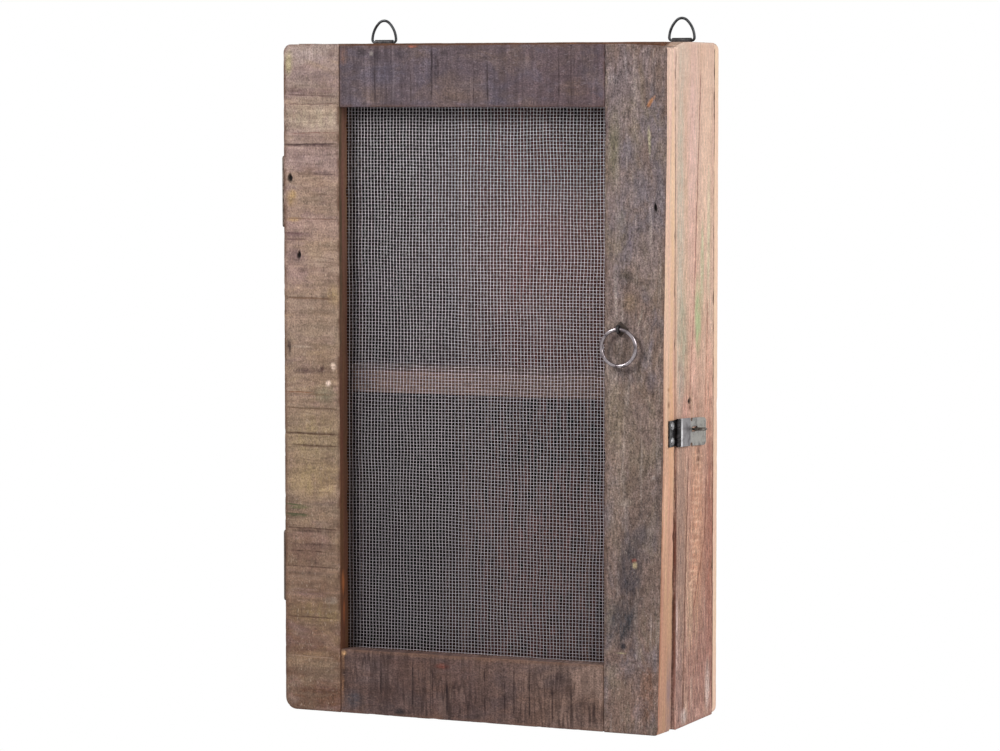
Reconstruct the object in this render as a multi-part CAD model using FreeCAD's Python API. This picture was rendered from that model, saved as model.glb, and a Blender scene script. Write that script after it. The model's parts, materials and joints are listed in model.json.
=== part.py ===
import FreeCAD, Part
import math
import os

# Small wall-hung cupboard of reclaimed boards with a wire-mesh door.
# Millimetres, +Z up, front towards -Y. The origin lies midway between the two hook points,
# in the plane of the hanging rings, so the cupboard hangs below it.

V = FreeCAD.Vector

# Carcass
CUPBOARD_WIDTH = 400.0
CUPBOARD_HEIGHT = 658.0
SIDE_WIDTH = 105.5
SIDE_THICKNESS = 20.0
TOP_THICKNESS = 20.0
BOTTOM_THICKNESS = 20.0
HOUSING_DEPTH = 6.0
SHELF_THICKNESS = 22.0
SHELF_TOP_HEIGHT = 337.0
SHELF_SETBACK = 5.0
SIDE_TOP_ROUND = 5.0
SIDE_BOTTOM_ROUND = 4.0
BACK_THICKNESS = 11.0
BACK_BOARD_COUNT = 3
BACK_BOARD_GAP = 0.6
BACK_CORNER_ROUND = 7.0

# Door frame
DOOR_GAP = 2.0
DOOR_THICKNESS = 29.5
DOOR_TOP_DROP = 2.5
DOOR_BOTTOM_RISE = 1.0
STILE_WIDTH = 61.0
TOP_RAIL_WIDTH = 60.0
BOTTOM_RAIL_WIDTH = 63.0
TENON_LENGTH = 32.0
TENON_THICKNESS = 8.0
TENON_FRONT_SHOULDER = 8.0
TENON_EDGE_SHOULDER = 12.0
TOP_CORNER_WEAR = 8.0
FOOT_CORNER_WEAR = 12.0
LATCH_CORNER_WEAR = 2.5
LATCH_TOP_DROP = 2.0
LATCH_FOOT_TAPER = 4.0
LATCH_TAPER_BELOW_HASP = 10.0
ARRIS_ROUND = 1.2

# Wire mesh and its beads
REBATE_WIDTH = 10.0
REBATE_DEPTH = 11.0
MESH_THICKNESS = 1.3
MESH_SIDE_CLEARANCE = 0.5
MESH_SELVEDGE = 4.0
MESH_WIRE = 1.3
MESH_COLUMNS = 12
MESH_ROWS = 24
BEAD_RECESS = 0.7
BEAD_CLEARANCE = 0.3

# Butt hinges on the left edge
HINGE_LENGTH = 70.0
HINGE_INSET = 142.5
HINGE_LEAF_WIDTH = 29.5
HINGE_LEAF_THICKNESS = 1.6
HINGE_PIN_RADIUS = 1.7
HINGE_PIN_HEAD_RADIUS = 2.9
HINGE_PIN_HEAD_HEIGHT = 1.3
HINGE_KNUCKLES = 5
HINGE_CORNER_ROUND = 3.0
HINGE_SCREWS = 3
HINGE_SCREW_END_INSET = 12.0
HINGE_SCREW_STAGGER = 5.0
HINGE_SCREW_LENGTH = 15.0
HINGE_SCREW_RADIUS = 1.7
HINGE_SCREW_HEAD_RADIUS = 3.4

# Running fits
PIN_CLEARANCE = 0.06
KNUCKLE_GAP = 0.4
BARREL_STANDOFF = 0.4

# Hasp on the right edge
HASP_HEIGHT = 285.5
HASP_LEAF_WIDTH = 19.0
HASP_LEAF_HEIGHT = 25.0
HASP_SHEET = 1.4
HASP_PIN_RADIUS = 1.3
HASP_PIN_HEAD_HEIGHT = 0.9
HASP_MID_KNUCKLE = 9.6
HASP_SCREW_SPACING = 14.6
HASP_SCREW_LENGTH = 14.0
HASP_SCREW_RADIUS = 1.5
HASP_SCREW_HEAD_RADIUS = 3.8
HASP_SCREW_HEAD_HEIGHT = 1.5
STRAP_LENGTH = 74.0
STRAP_HEIGHT = 27.0
STRAP_BEND = 40.0
STRAP_LIFT = 0.3
STRAP_BITE_RADIUS = 3.4
STRAP_END_ROUND = 4.0
STRAP_DROOP = 4.0
STRAP_TIP_LENGTH = 9.0
STRAP_TIP_RISE = 2.4
STAPLE_REACH = 49.0
STAPLE_WIRE_RADIUS = 1.2
STAPLE_LEG_SPACING = 8.6
STAPLE_STAND = 14.0
STAPLE_EMBED = 13.0
SLOT_END_CLEARANCE = 1.8
SLOT_SIDE_CLEARANCE = 1.3

# Ring pull
PULL_INSET = 44.0
PULL_EYE_HEIGHT = 385.0
PULL_RING_DIAMETER = 38.5
PULL_WIRE_RADIUS = 1.85
PULL_EYE_CLEARANCE = 0.35
PULL_EYE_WIRE_RADIUS = 1.2
PULL_SHANK_RADIUS = 1.2
PULL_SHANK_LENGTH = 22.0
PULL_ROSE_REACH = 7.5
PULL_ROSE_THICKNESS = 1.2
PULL_ROSE_CORNER = 0.8
PULL_STANDOFF = 0.2
PULL_SHANK_CLEARANCE = 0.05

# Hanging rings and straps
HANGER_SIDE_INSET = 39.5
RING_BAR_RISE = 2.8
RING_RISE = 21.8
RING_WIRE_RADIUS = 1.35
RING_FOOT_RADIUS = 2.8
RING_CROWN_RADIUS = 8.0
RING_FOOT_TURN = 92.0
RING_FLANK_TURN = 45.0
STRAP_SHEET = 1.2
HANGER_WIDTH = 19.6
HANGER_LENGTH = 38.0
HANGER_SCREWS = 2
HANGER_SCREW_TOP_INSET = 13.0
HANGER_SCREW_SPACING = 14.0
HANGER_SCREW_LENGTH = 9.0
HANGER_SCREW_RADIUS = 1.5
HANGER_SCREW_HEAD_RADIUS = 3.1
HANGER_SCREW_HEAD_HEIGHT = 1.6

# Cut nails, stamped from plate and tapered in width
NAIL_WIDTH = 3.2
NAIL_TIP_WIDTH = 1.4
NAIL_THICKNESS = 2.0
NAIL_HEAD_WIDTH = 5.2
NAIL_HEAD_HEIGHT = 1.0
NAIL_LENGTH = 45.0
NAILS_PER_JOINT = 3
NAIL_EDGE_INSET = 18.0
NAIL_SET = 0.8
BACK_NAIL_WIDTH = 2.6
BACK_NAIL_TIP_WIDTH = 1.2
BACK_NAIL_THICKNESS = 1.6
BACK_NAIL_HEAD_WIDTH = 4.4
BACK_NAIL_HEAD_HEIGHT = 0.9
BACK_NAIL_LENGTH = 26.0
BACK_NAIL_INSET = 30.0
BACK_NAIL_DROP = 5.0

# Screw slots and the overrun of every cut
SCREW_SLOT_WIDTH = 0.8
SCREW_SLOT_DEPTH = 0.7
CUT_OVERRUN = 1.0

# Datums worked out from the sizes above
SIDE_X = CUPBOARD_WIDTH / 2
HANGER_SPACING = CUPBOARD_WIDTH - 2 * HANGER_SIDE_INSET
ROLL_BORE_RADIUS = RING_WIRE_RADIUS + PIN_CLEARANCE
ROLL_RADIUS = ROLL_BORE_RADIUS + STRAP_SHEET
RING_PLANE_Y = 0.0
BACK_Y = RING_PLANE_Y - ROLL_RADIUS
SIDE_REAR_Y = BACK_Y - BACK_THICKNESS
SIDE_FRONT_Y = SIDE_REAR_Y - SIDE_WIDTH
DOOR_REAR_Y = SIDE_FRONT_Y - DOOR_GAP
DOOR_FRONT_Y = DOOR_REAR_Y - DOOR_THICKNESS
JOINT_Y = (SIDE_FRONT_Y + DOOR_REAR_Y) / 2
RING_BAR_Z = RING_WIRE_RADIUS - RING_RISE
TOP_Z = RING_BAR_Z - RING_BAR_RISE
BASE_Z = TOP_Z - CUPBOARD_HEIGHT
SHELF_TOP_Z = BASE_Z + SHELF_TOP_HEIGHT
SHELF_LOW_Z = SHELF_TOP_Z - SHELF_THICKNESS
DOOR_TOP_Z = TOP_Z - DOOR_TOP_DROP
DOOR_LOW_Z = BASE_Z + DOOR_BOTTOM_RISE
OPENING_X = SIDE_X - STILE_WIDTH
OPENING_TOP_Z = DOOR_TOP_Z - TOP_RAIL_WIDTH
OPENING_LOW_Z = DOOR_LOW_Z + BOTTOM_RAIL_WIDTH
REBATE_X = OPENING_X + REBATE_WIDTH
REBATE_TOP_Z = OPENING_TOP_Z + REBATE_WIDTH
REBATE_LOW_Z = OPENING_LOW_Z - REBATE_WIDTH
MESH_FRONT_Y = DOOR_REAR_Y - REBATE_DEPTH
MESH_REAR_Y = MESH_FRONT_Y + MESH_THICKNESS
HINGE_BORE_RADIUS = HINGE_PIN_RADIUS + PIN_CLEARANCE
HINGE_BARREL_RADIUS = HINGE_BORE_RADIUS + HINGE_LEAF_THICKNESS
HINGE_PIN_X = -SIDE_X - BARREL_STANDOFF - HINGE_BARREL_RADIUS
HASP_BORE_RADIUS = HASP_PIN_RADIUS + PIN_CLEARANCE
HASP_BARREL_RADIUS = HASP_BORE_RADIUS + HASP_SHEET
HASP_PIN_X = SIDE_X + BARREL_STANDOFF + HASP_BARREL_RADIUS
HASP_Z = DOOR_LOW_Z + HASP_HEIGHT
EYE_HOLE_RADIUS = PULL_WIRE_RADIUS + PULL_EYE_CLEARANCE
EYE_TURN_RADIUS = EYE_HOLE_RADIUS + PULL_EYE_WIRE_RADIUS
EYE_RADIUS = EYE_TURN_RADIUS + PULL_EYE_WIRE_RADIUS
EYE_X = SIDE_X - PULL_INSET
EYE_Y = DOOR_FRONT_Y - PULL_ROSE_THICKNESS - PULL_STANDOFF - EYE_RADIUS
EYE_Z = DOOR_LOW_Z + PULL_EYE_HEIGHT


def block(x, y, z):
    """Box between pairs of limits along X, Y and Z."""
    low = V(min(x), min(y), min(z))
    return Part.makeBox(max(x) - min(x), max(y) - min(y), max(z) - min(z), low)


def rounded_outline(corners, radii, place):
    """Closed wire through flat corners, each rounded by its radius; place sets a flat point in space."""
    edges = []
    starts = []
    ends = []
    middles = []
    for i, corner in enumerate(corners):
        here = V(*corner, 0)
        into = (V(*corners[i - 1], 0) - here).normalize()
        out = (V(*corners[(i + 1) % len(corners)], 0) - here).normalize()
        half = into.getAngle(out) / 2
        reach = radii[i] / math.tan(half)
        inward = (into + out).normalize()
        starts.append(here + into * reach)
        ends.append(here + out * reach)
        middles.append(here + inward * (radii[i] / math.sin(half) - radii[i]))
    for i in range(len(corners)):
        if radii[i] > 0:
            edges.append(Part.Arc(place(starts[i]), place(middles[i]), place(ends[i])).toShape())
        edges.append(Part.makeLine(place(ends[i]), place(starts[(i + 1) % len(corners)])))
    return Part.Wire(edges)


def slab(corners, radii, place, run):
    """Flat rounded outline drawn out by a vector."""
    return Part.Face(rounded_outline(corners, radii, place)).extrude(run)


def box_corners(u, v):
    """Four corners of a rectangle, anticlockwise from its least u and v."""
    return [(min(u), min(v)), (max(u), min(v)), (max(u), max(v)), (min(u), max(v))]


def soften(solid, edges, radius):
    """Rounds the chosen edges of a solid."""
    return solid.makeFillet(radius, edges)


def edges_on(solid, test):
    """Straight edges of a solid whose two ends both pass a test."""
    return [e for e in solid.Edges if len(e.Vertexes) == 2 and all(test(p.Point) for p in e.Vertexes)]


# Fasteners


def cut_nail(head, into, widths, thickness, head_height, length):
    """Cut nail with its head flush at a point, driven level along a direction, its width upright.

    The widths are those of the head, of the shank below it and of the tip.
    """
    top, neck, tip = widths
    half_line = [(0, top / 2), (head_height, top / 2), (head_height, neck / 2), (length, tip / 2)]
    side = into.cross(V(0, 0, 1))
    upper = [head + into * run + V(0, 0, rise) for run, rise in half_line]
    lower = [head + into * run - V(0, 0, rise) for run, rise in reversed(half_line)]
    plate = Part.Face(Part.makePolygon(upper + lower + [upper[0]]))
    plate.translate(side * (-thickness / 2))
    return plate.extrude(side * thickness)


def screw_slot(head, into, head_radius):
    """Driver slot that is cut across a screw head."""
    width = SCREW_SLOT_WIDTH
    depth = SCREW_SLOT_DEPTH
    half = head_radius + CUT_OVERRUN
    tool = block((-half, half), (-width / 2, width / 2), (-CUT_OVERRUN, depth))
    tool.Placement = FreeCAD.Placement(head, FreeCAD.Rotation(V(0, 0, 1), into))
    return tool


def flush_screw(head, into, radius, head_radius, length):
    """Countersunk screw: its plain body for cutting the hole, and the slotted screw."""
    sink = head_radius - radius
    cone = Part.makeCone(head_radius, radius, sink, head, into)
    body = cone.fuse(Part.makeCylinder(radius, length, head, into)).removeSplitter()
    return body, body.cut(screw_slot(head, into, head_radius))


def dome_screw(seat, into, radius, head_radius, head_height, length):
    """Round-head screw seated on a face: its shank for cutting the hole, and the slotted screw."""
    ball = (head_radius**2 + head_height**2) / (2 * head_height)
    centre = seat + into * (ball - head_height)
    cap = Part.makeSphere(ball, centre)
    half_space = Part.makeCylinder(ball + CUT_OVERRUN, 2 * ball + CUT_OVERRUN, seat, into)
    shank = Part.makeCylinder(radius, length, seat, into)
    body = cap.cut(half_space).fuse(shank).removeSplitter()
    top = seat - into * head_height
    return shank, body.cut(screw_slot(top, into, head_radius))


# Carcass boards


def cross_board(z, front_y, rear_y):
    """Board across the carcass, its ends housed in the two sides."""
    reach = SIDE_X - SIDE_THICKNESS + HOUSING_DEPTH
    return block((-reach, reach), (front_y, rear_y), z)


def side_board(hand, housed):
    """Full-height side with rounded front and rear corners, housed for the boards that end in it."""
    corners = box_corners((SIDE_FRONT_Y, SIDE_REAR_Y), (BASE_Z, TOP_Z))
    radii = [SIDE_BOTTOM_ROUND, 0, 0, SIDE_TOP_ROUND]
    run = V(-hand * SIDE_THICKNESS, 0, 0)
    board = slab(corners, radii, lambda p: V(hand * SIDE_X, p.x, p.y), run)
    for other in housed:
        board = board.cut(other)
    return board


def back_boards():
    """Upright boards side by side over the rear edges; the outer ones have worn outer corners."""
    width = (CUPBOARD_WIDTH - BACK_BOARD_GAP * (BACK_BOARD_COUNT - 1)) / BACK_BOARD_COUNT
    boards = []
    for i in range(BACK_BOARD_COUNT):
        left = -SIDE_X + i * (width + BACK_BOARD_GAP)
        first = BACK_CORNER_ROUND if i == 0 else 0
        last = BACK_CORNER_ROUND if i == BACK_BOARD_COUNT - 1 else 0
        corners = box_corners((left, left + width), (BASE_Z, TOP_Z))
        radii = [first, last, last, first]
        boards.append(slab(corners, radii, lambda p: V(p.x, SIDE_REAR_Y, p.y), V(0, BACK_THICKNESS, 0)))
    return boards


def joint_heights():
    """Middle heights of the bottom board, the shelf and the top board."""
    low = BASE_Z + BOTTOM_THICKNESS / 2
    middle = SHELF_LOW_Z + SHELF_THICKNESS / 2
    high = TOP_Z - TOP_THICKNESS / 2
    return low, middle, high


def carcass_nails():
    """Nails through both sides into the ends of the boards between them, punched just below the face."""
    first = SIDE_FRONT_Y + SHELF_SETBACK + NAIL_EDGE_INSET
    last = SIDE_REAR_Y - NAIL_EDGE_INSET
    step = (last - first) / (NAILS_PER_JOINT - 1)
    widths = (NAIL_HEAD_WIDTH, NAIL_WIDTH, NAIL_TIP_WIDTH)
    nails = []
    for hand in (-1, 1):
        for z in joint_heights():
            for i in range(NAILS_PER_JOINT):
                head = V(hand * (SIDE_X - NAIL_SET), first + i * step, z)
                nails.append(
                    cut_nail(head, V(-hand, 0, 0), widths, NAIL_THICKNESS, NAIL_HEAD_HEIGHT, NAIL_LENGTH)
                )
    return nails


def back_nails():
    """Nails through each back board into the bottom board, the shelf and the top board."""
    width = (CUPBOARD_WIDTH - BACK_BOARD_GAP * (BACK_BOARD_COUNT - 1)) / BACK_BOARD_COUNT
    widths = (BACK_NAIL_HEAD_WIDTH, BACK_NAIL_WIDTH, BACK_NAIL_TIP_WIDTH)
    nails = []
    for i in range(BACK_BOARD_COUNT):
        left = -SIDE_X + i * (width + BACK_BOARD_GAP)
        for x in (left + BACK_NAIL_INSET, left + width - BACK_NAIL_INSET):
            for z in joint_heights():
                head = V(x, BACK_Y, z - BACK_NAIL_DROP)
                nails.append(
                    cut_nail(
                        head, V(0, -1, 0), widths, BACK_NAIL_THICKNESS, BACK_NAIL_HEAD_HEIGHT, BACK_NAIL_LENGTH
                    )
                )
    return nails


# Door frame


def rail_tenons(z_low, z_high):
    """Stub tenons at both ends of a rail, shouldered on every side."""
    front = DOOR_FRONT_Y + TENON_FRONT_SHOULDER
    y = (front, front + TENON_THICKNESS)
    z = (z_low + TENON_EDGE_SHOULDER, z_high - TENON_EDGE_SHOULDER)
    reach = OPENING_X + TENON_LENGTH
    return block((-reach, reach), y, z)


def rebate():
    """Recess round the opening, cut from the rear of the assembled frame."""
    y = (MESH_FRONT_Y, DOOR_REAR_Y + CUT_OVERRUN)
    return block((-REBATE_X, REBATE_X), y, (REBATE_LOW_Z, REBATE_TOP_Z))


def left_stile_outline():
    """Hinge stile with a worn top corner and a well rounded foot corner."""
    corners = box_corners((-SIDE_X, -OPENING_X), (DOOR_LOW_Z, DOOR_TOP_Z))
    return corners, [FOOT_CORNER_WEAR, 0, 0, TOP_CORNER_WEAR]


def right_stile_outline():
    """Latch stile whose top falls away outwards and whose outer edge draws in below the hasp."""
    taper_z = HASP_Z - HASP_LEAF_HEIGHT / 2 - LATCH_TAPER_BELOW_HASP
    corners = [
        (OPENING_X, DOOR_LOW_Z),
        (SIDE_X - LATCH_FOOT_TAPER, DOOR_LOW_Z),
        (SIDE_X, taper_z),
        (SIDE_X, DOOR_TOP_Z - LATCH_TOP_DROP),
        (OPENING_X, DOOR_TOP_Z),
    ]
    return corners, [0, LATCH_CORNER_WEAR, 0, LATCH_CORNER_WEAR, 0]


def stile(outline, mortised):
    """Full-height upright of the door with softened front arrises, mortised for the rails."""
    corners, radii = outline
    upright = slab(corners, radii, lambda p: V(p.x, DOOR_FRONT_Y, p.y), V(0, DOOR_THICKNESS, 0))
    front = edges_on(upright, lambda p: abs(p.y - DOOR_FRONT_Y) < ARRIS_ROUND)
    spans = [(e, e.Vertexes[1].Point - e.Vertexes[0].Point) for e in front]
    along = [e for e, span in spans if abs(span.z) > 2 * abs(span.x)]
    upright = soften(upright, along, ARRIS_ROUND)
    for other in mortised:
        upright = upright.cut(other)
    return upright.cut(rebate())


def rail(z):
    """Cross member between the stiles with a stub tenon at each end and softened front arrises."""
    body = block((-OPENING_X, OPENING_X), (DOOR_FRONT_Y, DOOR_REAR_Y), z)
    front = edges_on(body, lambda p: abs(p.y - DOOR_FRONT_Y) < ARRIS_ROUND)
    along = [e for e in front if e.Vertexes[0].Point.z == e.Vertexes[1].Point.z]
    body = soften(body, along, ARRIS_ROUND)
    return body.fuse(rail_tenons(min(z), max(z))).cut(rebate()).removeSplitter()


def wire_mesh():
    """Net in the rebate as one holed face, with a plain selvedge behind the frame."""
    half = REBATE_X - MESH_SIDE_CLEARANCE
    low = REBATE_LOW_Z + MESH_SIDE_CLEARANCE
    high = REBATE_TOP_Z - MESH_SIDE_CLEARANCE
    across = (2 * (half - MESH_SELVEDGE) + MESH_WIRE) / MESH_COLUMNS
    upward = (high - low - 2 * MESH_SELVEDGE + MESH_WIRE) / MESH_ROWS
    place = lambda p: V(p.x, MESH_FRONT_Y, p.y)
    wires = [rounded_outline(box_corners((-half, half), (low, high)), [0] * 4, place)]
    for i in range(MESH_COLUMNS):
        left = -half + MESH_SELVEDGE + i * across
        for j in range(MESH_ROWS):
            foot = low + MESH_SELVEDGE + j * upward
            gap = box_corners((left, left + across - MESH_WIRE), (foot, foot + upward - MESH_WIRE))
            wires.append(rounded_outline(gap, [0] * 4, place))
    return Part.makeFace(wires, "Part::FaceMakerBullseye").extrude(V(0, MESH_THICKNESS, 0))


def mesh_beads():
    """Four strips that press the mesh into the rebate: two uprights, and two between them."""
    y = (MESH_REAR_Y, DOOR_REAR_Y - BEAD_RECESS)
    outer = REBATE_X - BEAD_CLEARANCE
    inner = OPENING_X + BEAD_CLEARANCE
    low = REBATE_LOW_Z + BEAD_CLEARANCE
    high = REBATE_TOP_Z - BEAD_CLEARANCE
    short = inner - BEAD_CLEARANCE
    left = block((-outer, -inner), y, (low, high))
    right = block((inner, outer), y, (low, high))
    top = block((-short, short), y, (OPENING_TOP_Z + BEAD_CLEARANCE, high))
    bottom = block((-short, short), y, (low, OPENING_LOW_Z - BEAD_CLEARANCE))
    return left, right, top, bottom


# Hinged sheet metal


def knuckle_spans(low, high, count):
    """Heights of the knuckles that share a pin, with a running gap between them."""
    pitch = (high - low + KNUCKLE_GAP) / count
    return [(low + i * pitch, low + (i + 1) * pitch - KNUCKLE_GAP) for i in range(count)]


def barrel(pin_x, radius, span):
    """One rolled knuckle, still without its bore."""
    return Part.makeCylinder(radius, span[1] - span[0], V(pin_x, JOINT_Y, span[0]))


def bored(leaf, pin_x, radius, low, high):
    """Leaf with the pin bore through its knuckles."""
    length = high - low + 2 * CUT_OVERRUN
    return leaf.cut(Part.makeCylinder(radius, length, V(pin_x, JOINT_Y, low - CUT_OVERRUN)))


def knuckle_relief(x, run, reach, span):
    """Room in a leaf for a knuckle of the leaf that it works against."""
    z = (span[0] - KNUCKLE_GAP, span[1] + KNUCKLE_GAP)
    return block(x, (JOINT_Y - run * CUT_OVERRUN, JOINT_Y + run * reach), z)


def hinge_leaf(centre_z, run, own, others):
    """Leaf of a butt hinge on the outside of the left edge, reaching forward or back from the pin."""
    low = centre_z - HINGE_LENGTH / 2
    high = centre_z + HINGE_LENGTH / 2
    corners = box_corners((JOINT_Y, JOINT_Y + run * HINGE_LEAF_WIDTH), (low, high))
    far = HINGE_CORNER_ROUND
    radii = [0, far, far, 0] if run > 0 else [far, 0, 0, far]
    place = lambda p: V(-SIDE_X, p.x, p.y)
    leaf = slab(corners, radii, place, V(-HINGE_LEAF_THICKNESS, 0, 0))
    x = (-SIDE_X + CUT_OVERRUN, HINGE_PIN_X - HINGE_BARREL_RADIUS)
    for span in others:
        leaf = leaf.cut(knuckle_relief(x, run, HINGE_BARREL_RADIUS + KNUCKLE_GAP, span))
    for span in own:
        leaf = leaf.fuse(barrel(HINGE_PIN_X, HINGE_BARREL_RADIUS, span))
    return bored(leaf.removeSplitter(), HINGE_PIN_X, HINGE_BORE_RADIUS, low, high)


def hinge_pin(centre_z):
    """Loose pin of a butt hinge with a button at each end."""
    low = centre_z - HINGE_LENGTH / 2 - PIN_CLEARANCE
    high = centre_z + HINGE_LENGTH / 2 + PIN_CLEARANCE
    foot = V(HINGE_PIN_X, JOINT_Y, low - HINGE_PIN_HEAD_HEIGHT)
    pin = Part.makeCylinder(HINGE_PIN_RADIUS, high - low + 2 * HINGE_PIN_HEAD_HEIGHT, foot)
    for z in (low - HINGE_PIN_HEAD_HEIGHT, high):
        pin = pin.fuse(Part.makeCylinder(HINGE_PIN_HEAD_RADIUS, HINGE_PIN_HEAD_HEIGHT, V(HINGE_PIN_X, JOINT_Y, z)))
    return pin.removeSplitter()


def hinge_screws(centre_z, run):
    """Staggered countersunk screws of one hinge leaf, as hole bodies and as screws."""
    room = HINGE_LENGTH - 2 * HINGE_SCREW_END_INSET
    face = V(-SIDE_X - HINGE_LEAF_THICKNESS, 0, 0)
    middle = (HINGE_BARREL_RADIUS + HINGE_LEAF_WIDTH) / 2
    made = []
    for i in range(HINGE_SCREWS):
        z = centre_z - room / 2 + room * i / (HINGE_SCREWS - 1)
        sway = HINGE_SCREW_STAGGER if i % 2 else -HINGE_SCREW_STAGGER
        head = V(face.x, JOINT_Y + run * (middle + sway / 2), z)
        made.append(
            flush_screw(head, V(1, 0, 0), HINGE_SCREW_RADIUS, HINGE_SCREW_HEAD_RADIUS, HINGE_SCREW_LENGTH)
        )
    return made


# Hasp


def hasp_spans():
    """Heights of the two leaf knuckles and of the strap knuckle between them."""
    half = HASP_LEAF_HEIGHT / 2
    inner = HASP_MID_KNUCKLE / 2
    lower = (HASP_Z - half, HASP_Z - inner - KNUCKLE_GAP)
    upper = (HASP_Z + inner + KNUCKLE_GAP, HASP_Z + half)
    return lower, (HASP_Z - inner, HASP_Z + inner), upper


def hasp_leaf():
    """Fixed leaf on the right edge of the door with the outer two knuckles."""
    lower, middle, upper = hasp_spans()
    leaf = block(
        (SIDE_X, SIDE_X + HASP_SHEET),
        (JOINT_Y - HASP_LEAF_WIDTH, JOINT_Y),
        (lower[0], upper[1]),
    )
    x = (SIDE_X - CUT_OVERRUN, HASP_PIN_X + HASP_BARREL_RADIUS)
    leaf = leaf.cut(knuckle_relief(x, -1, HASP_BARREL_RADIUS + KNUCKLE_GAP, middle))
    for span in (lower, upper):
        leaf = leaf.fuse(barrel(HASP_PIN_X, HASP_BARREL_RADIUS, span))
    return bored(leaf.removeSplitter(), HASP_PIN_X, HASP_BORE_RADIUS, lower[0], upper[1])


def strap_profile():
    """Side line of the strap: down from the pin to the carcass, flat past the staple, tip turned up."""
    near = HASP_PIN_X - HASP_SHEET / 2
    flat = SIDE_X + STRAP_LIFT
    end = JOINT_Y + STRAP_LENGTH
    inner = [
        V(near, JOINT_Y, 0),
        V(flat, JOINT_Y + STRAP_BEND, 0),
        V(flat, end - STRAP_TIP_LENGTH, 0),
        V(flat + STRAP_TIP_RISE, end, 0),
    ]
    outer = [p + V(HASP_SHEET, 0, 0) for p in reversed(inner)]
    return Part.makePolygon(inner + outer + [inner[0]])


def strap_slot():
    """Long hole that drops over the staple, with room for the strap to swing off it."""
    half_width = STAPLE_WIRE_RADIUS + SLOT_SIDE_CLEARANCE
    half_length = STAPLE_LEG_SPACING / 2 + STAPLE_WIRE_RADIUS + SLOT_END_CLEARANCE
    middle = JOINT_Y + STAPLE_REACH
    y = (middle - half_length, middle + half_length)
    corners = box_corners(y, (HASP_Z - half_width, HASP_Z + half_width))
    start = SIDE_X - CUT_OVERRUN
    depth = HASP_PIN_X + HASP_BARREL_RADIUS - start
    ends = half_width - STAPLE_WIRE_RADIUS
    return slab(corners, [ends] * 4, lambda p: V(start, p.x, p.y), V(depth, 0, 0))


def hasp_strap():
    """Slotted strap with its own knuckle, drooping to its rounded tip and bitten on both edges at the bend."""
    lower, middle, upper = hasp_spans()
    low = HASP_Z - STRAP_HEIGHT / 2
    sheet = Part.Face(strap_profile()).extrude(V(0, 0, STRAP_HEIGHT + STRAP_DROOP))
    sheet.translate(V(0, 0, low - STRAP_DROOP))
    start = SIDE_X - CUT_OVERRUN
    depth = HASP_PIN_X + HASP_BARREL_RADIUS - start
    end = JOINT_Y + STRAP_LENGTH
    tip = low - STRAP_DROOP
    outline = [(JOINT_Y, low), (end, tip), (end, tip + STRAP_HEIGHT), (JOINT_Y, low + STRAP_HEIGHT)]
    ends = [0, STRAP_END_ROUND, STRAP_END_ROUND, 0]
    sheet = sheet.common(slab(outline, ends, lambda p: V(start, p.x, p.y), V(depth, 0, 0)))
    x = (start, HASP_PIN_X + HASP_BARREL_RADIUS)
    reach = HASP_BARREL_RADIUS + KNUCKLE_GAP
    for span in ((tip - CUT_OVERRUN, middle[0] - KNUCKLE_GAP), (middle[1] + KNUCKLE_GAP, low + STRAP_HEIGHT)):
        sheet = sheet.cut(knuckle_relief(x, 1, reach, span))
    bend_low = low - STRAP_DROOP * STRAP_BEND / STRAP_LENGTH
    for z in (bend_low, bend_low + STRAP_HEIGHT):
        foot = V(start, JOINT_Y + STRAP_BEND, z)
        sheet = sheet.cut(Part.makeCylinder(STRAP_BITE_RADIUS, depth, foot, V(1, 0, 0)))
    strap = sheet.cut(strap_slot()).fuse(barrel(HASP_PIN_X, HASP_BARREL_RADIUS, middle)).removeSplitter()
    return bored(strap, HASP_PIN_X, HASP_BORE_RADIUS, lower[0], upper[1])


def hasp_pin():
    """Riveted pin of the hasp, headed over the outer knuckles."""
    lower, middle, upper = hasp_spans()
    low = lower[0] - PIN_CLEARANCE - HASP_PIN_HEAD_HEIGHT
    high = upper[1] + PIN_CLEARANCE
    pin = Part.makeCylinder(HASP_PIN_RADIUS, high - low, V(HASP_PIN_X, JOINT_Y, low))
    head_radius = HASP_BARREL_RADIUS - HASP_SHEET / 2
    for z in (low, high):
        pin = pin.fuse(Part.makeCylinder(head_radius, HASP_PIN_HEAD_HEIGHT, V(HASP_PIN_X, JOINT_Y, z)))
    return pin.removeSplitter()


def hasp_screws():
    """Two round-head screws of the hasp leaf, as hole bodies and as screws."""
    y = JOINT_Y - (HASP_BARREL_RADIUS + HASP_LEAF_WIDTH) / 2
    made = []
    for side in (-1, 1):
        seat = V(SIDE_X + HASP_SHEET, y, HASP_Z + side * HASP_SCREW_SPACING / 2)
        made.append(
            dome_screw(
                seat,
                V(-1, 0, 0),
                HASP_SCREW_RADIUS,
                HASP_SCREW_HEAD_RADIUS,
                HASP_SCREW_HEAD_HEIGHT,
                HASP_SCREW_LENGTH,
            )
        )
    return made


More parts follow.
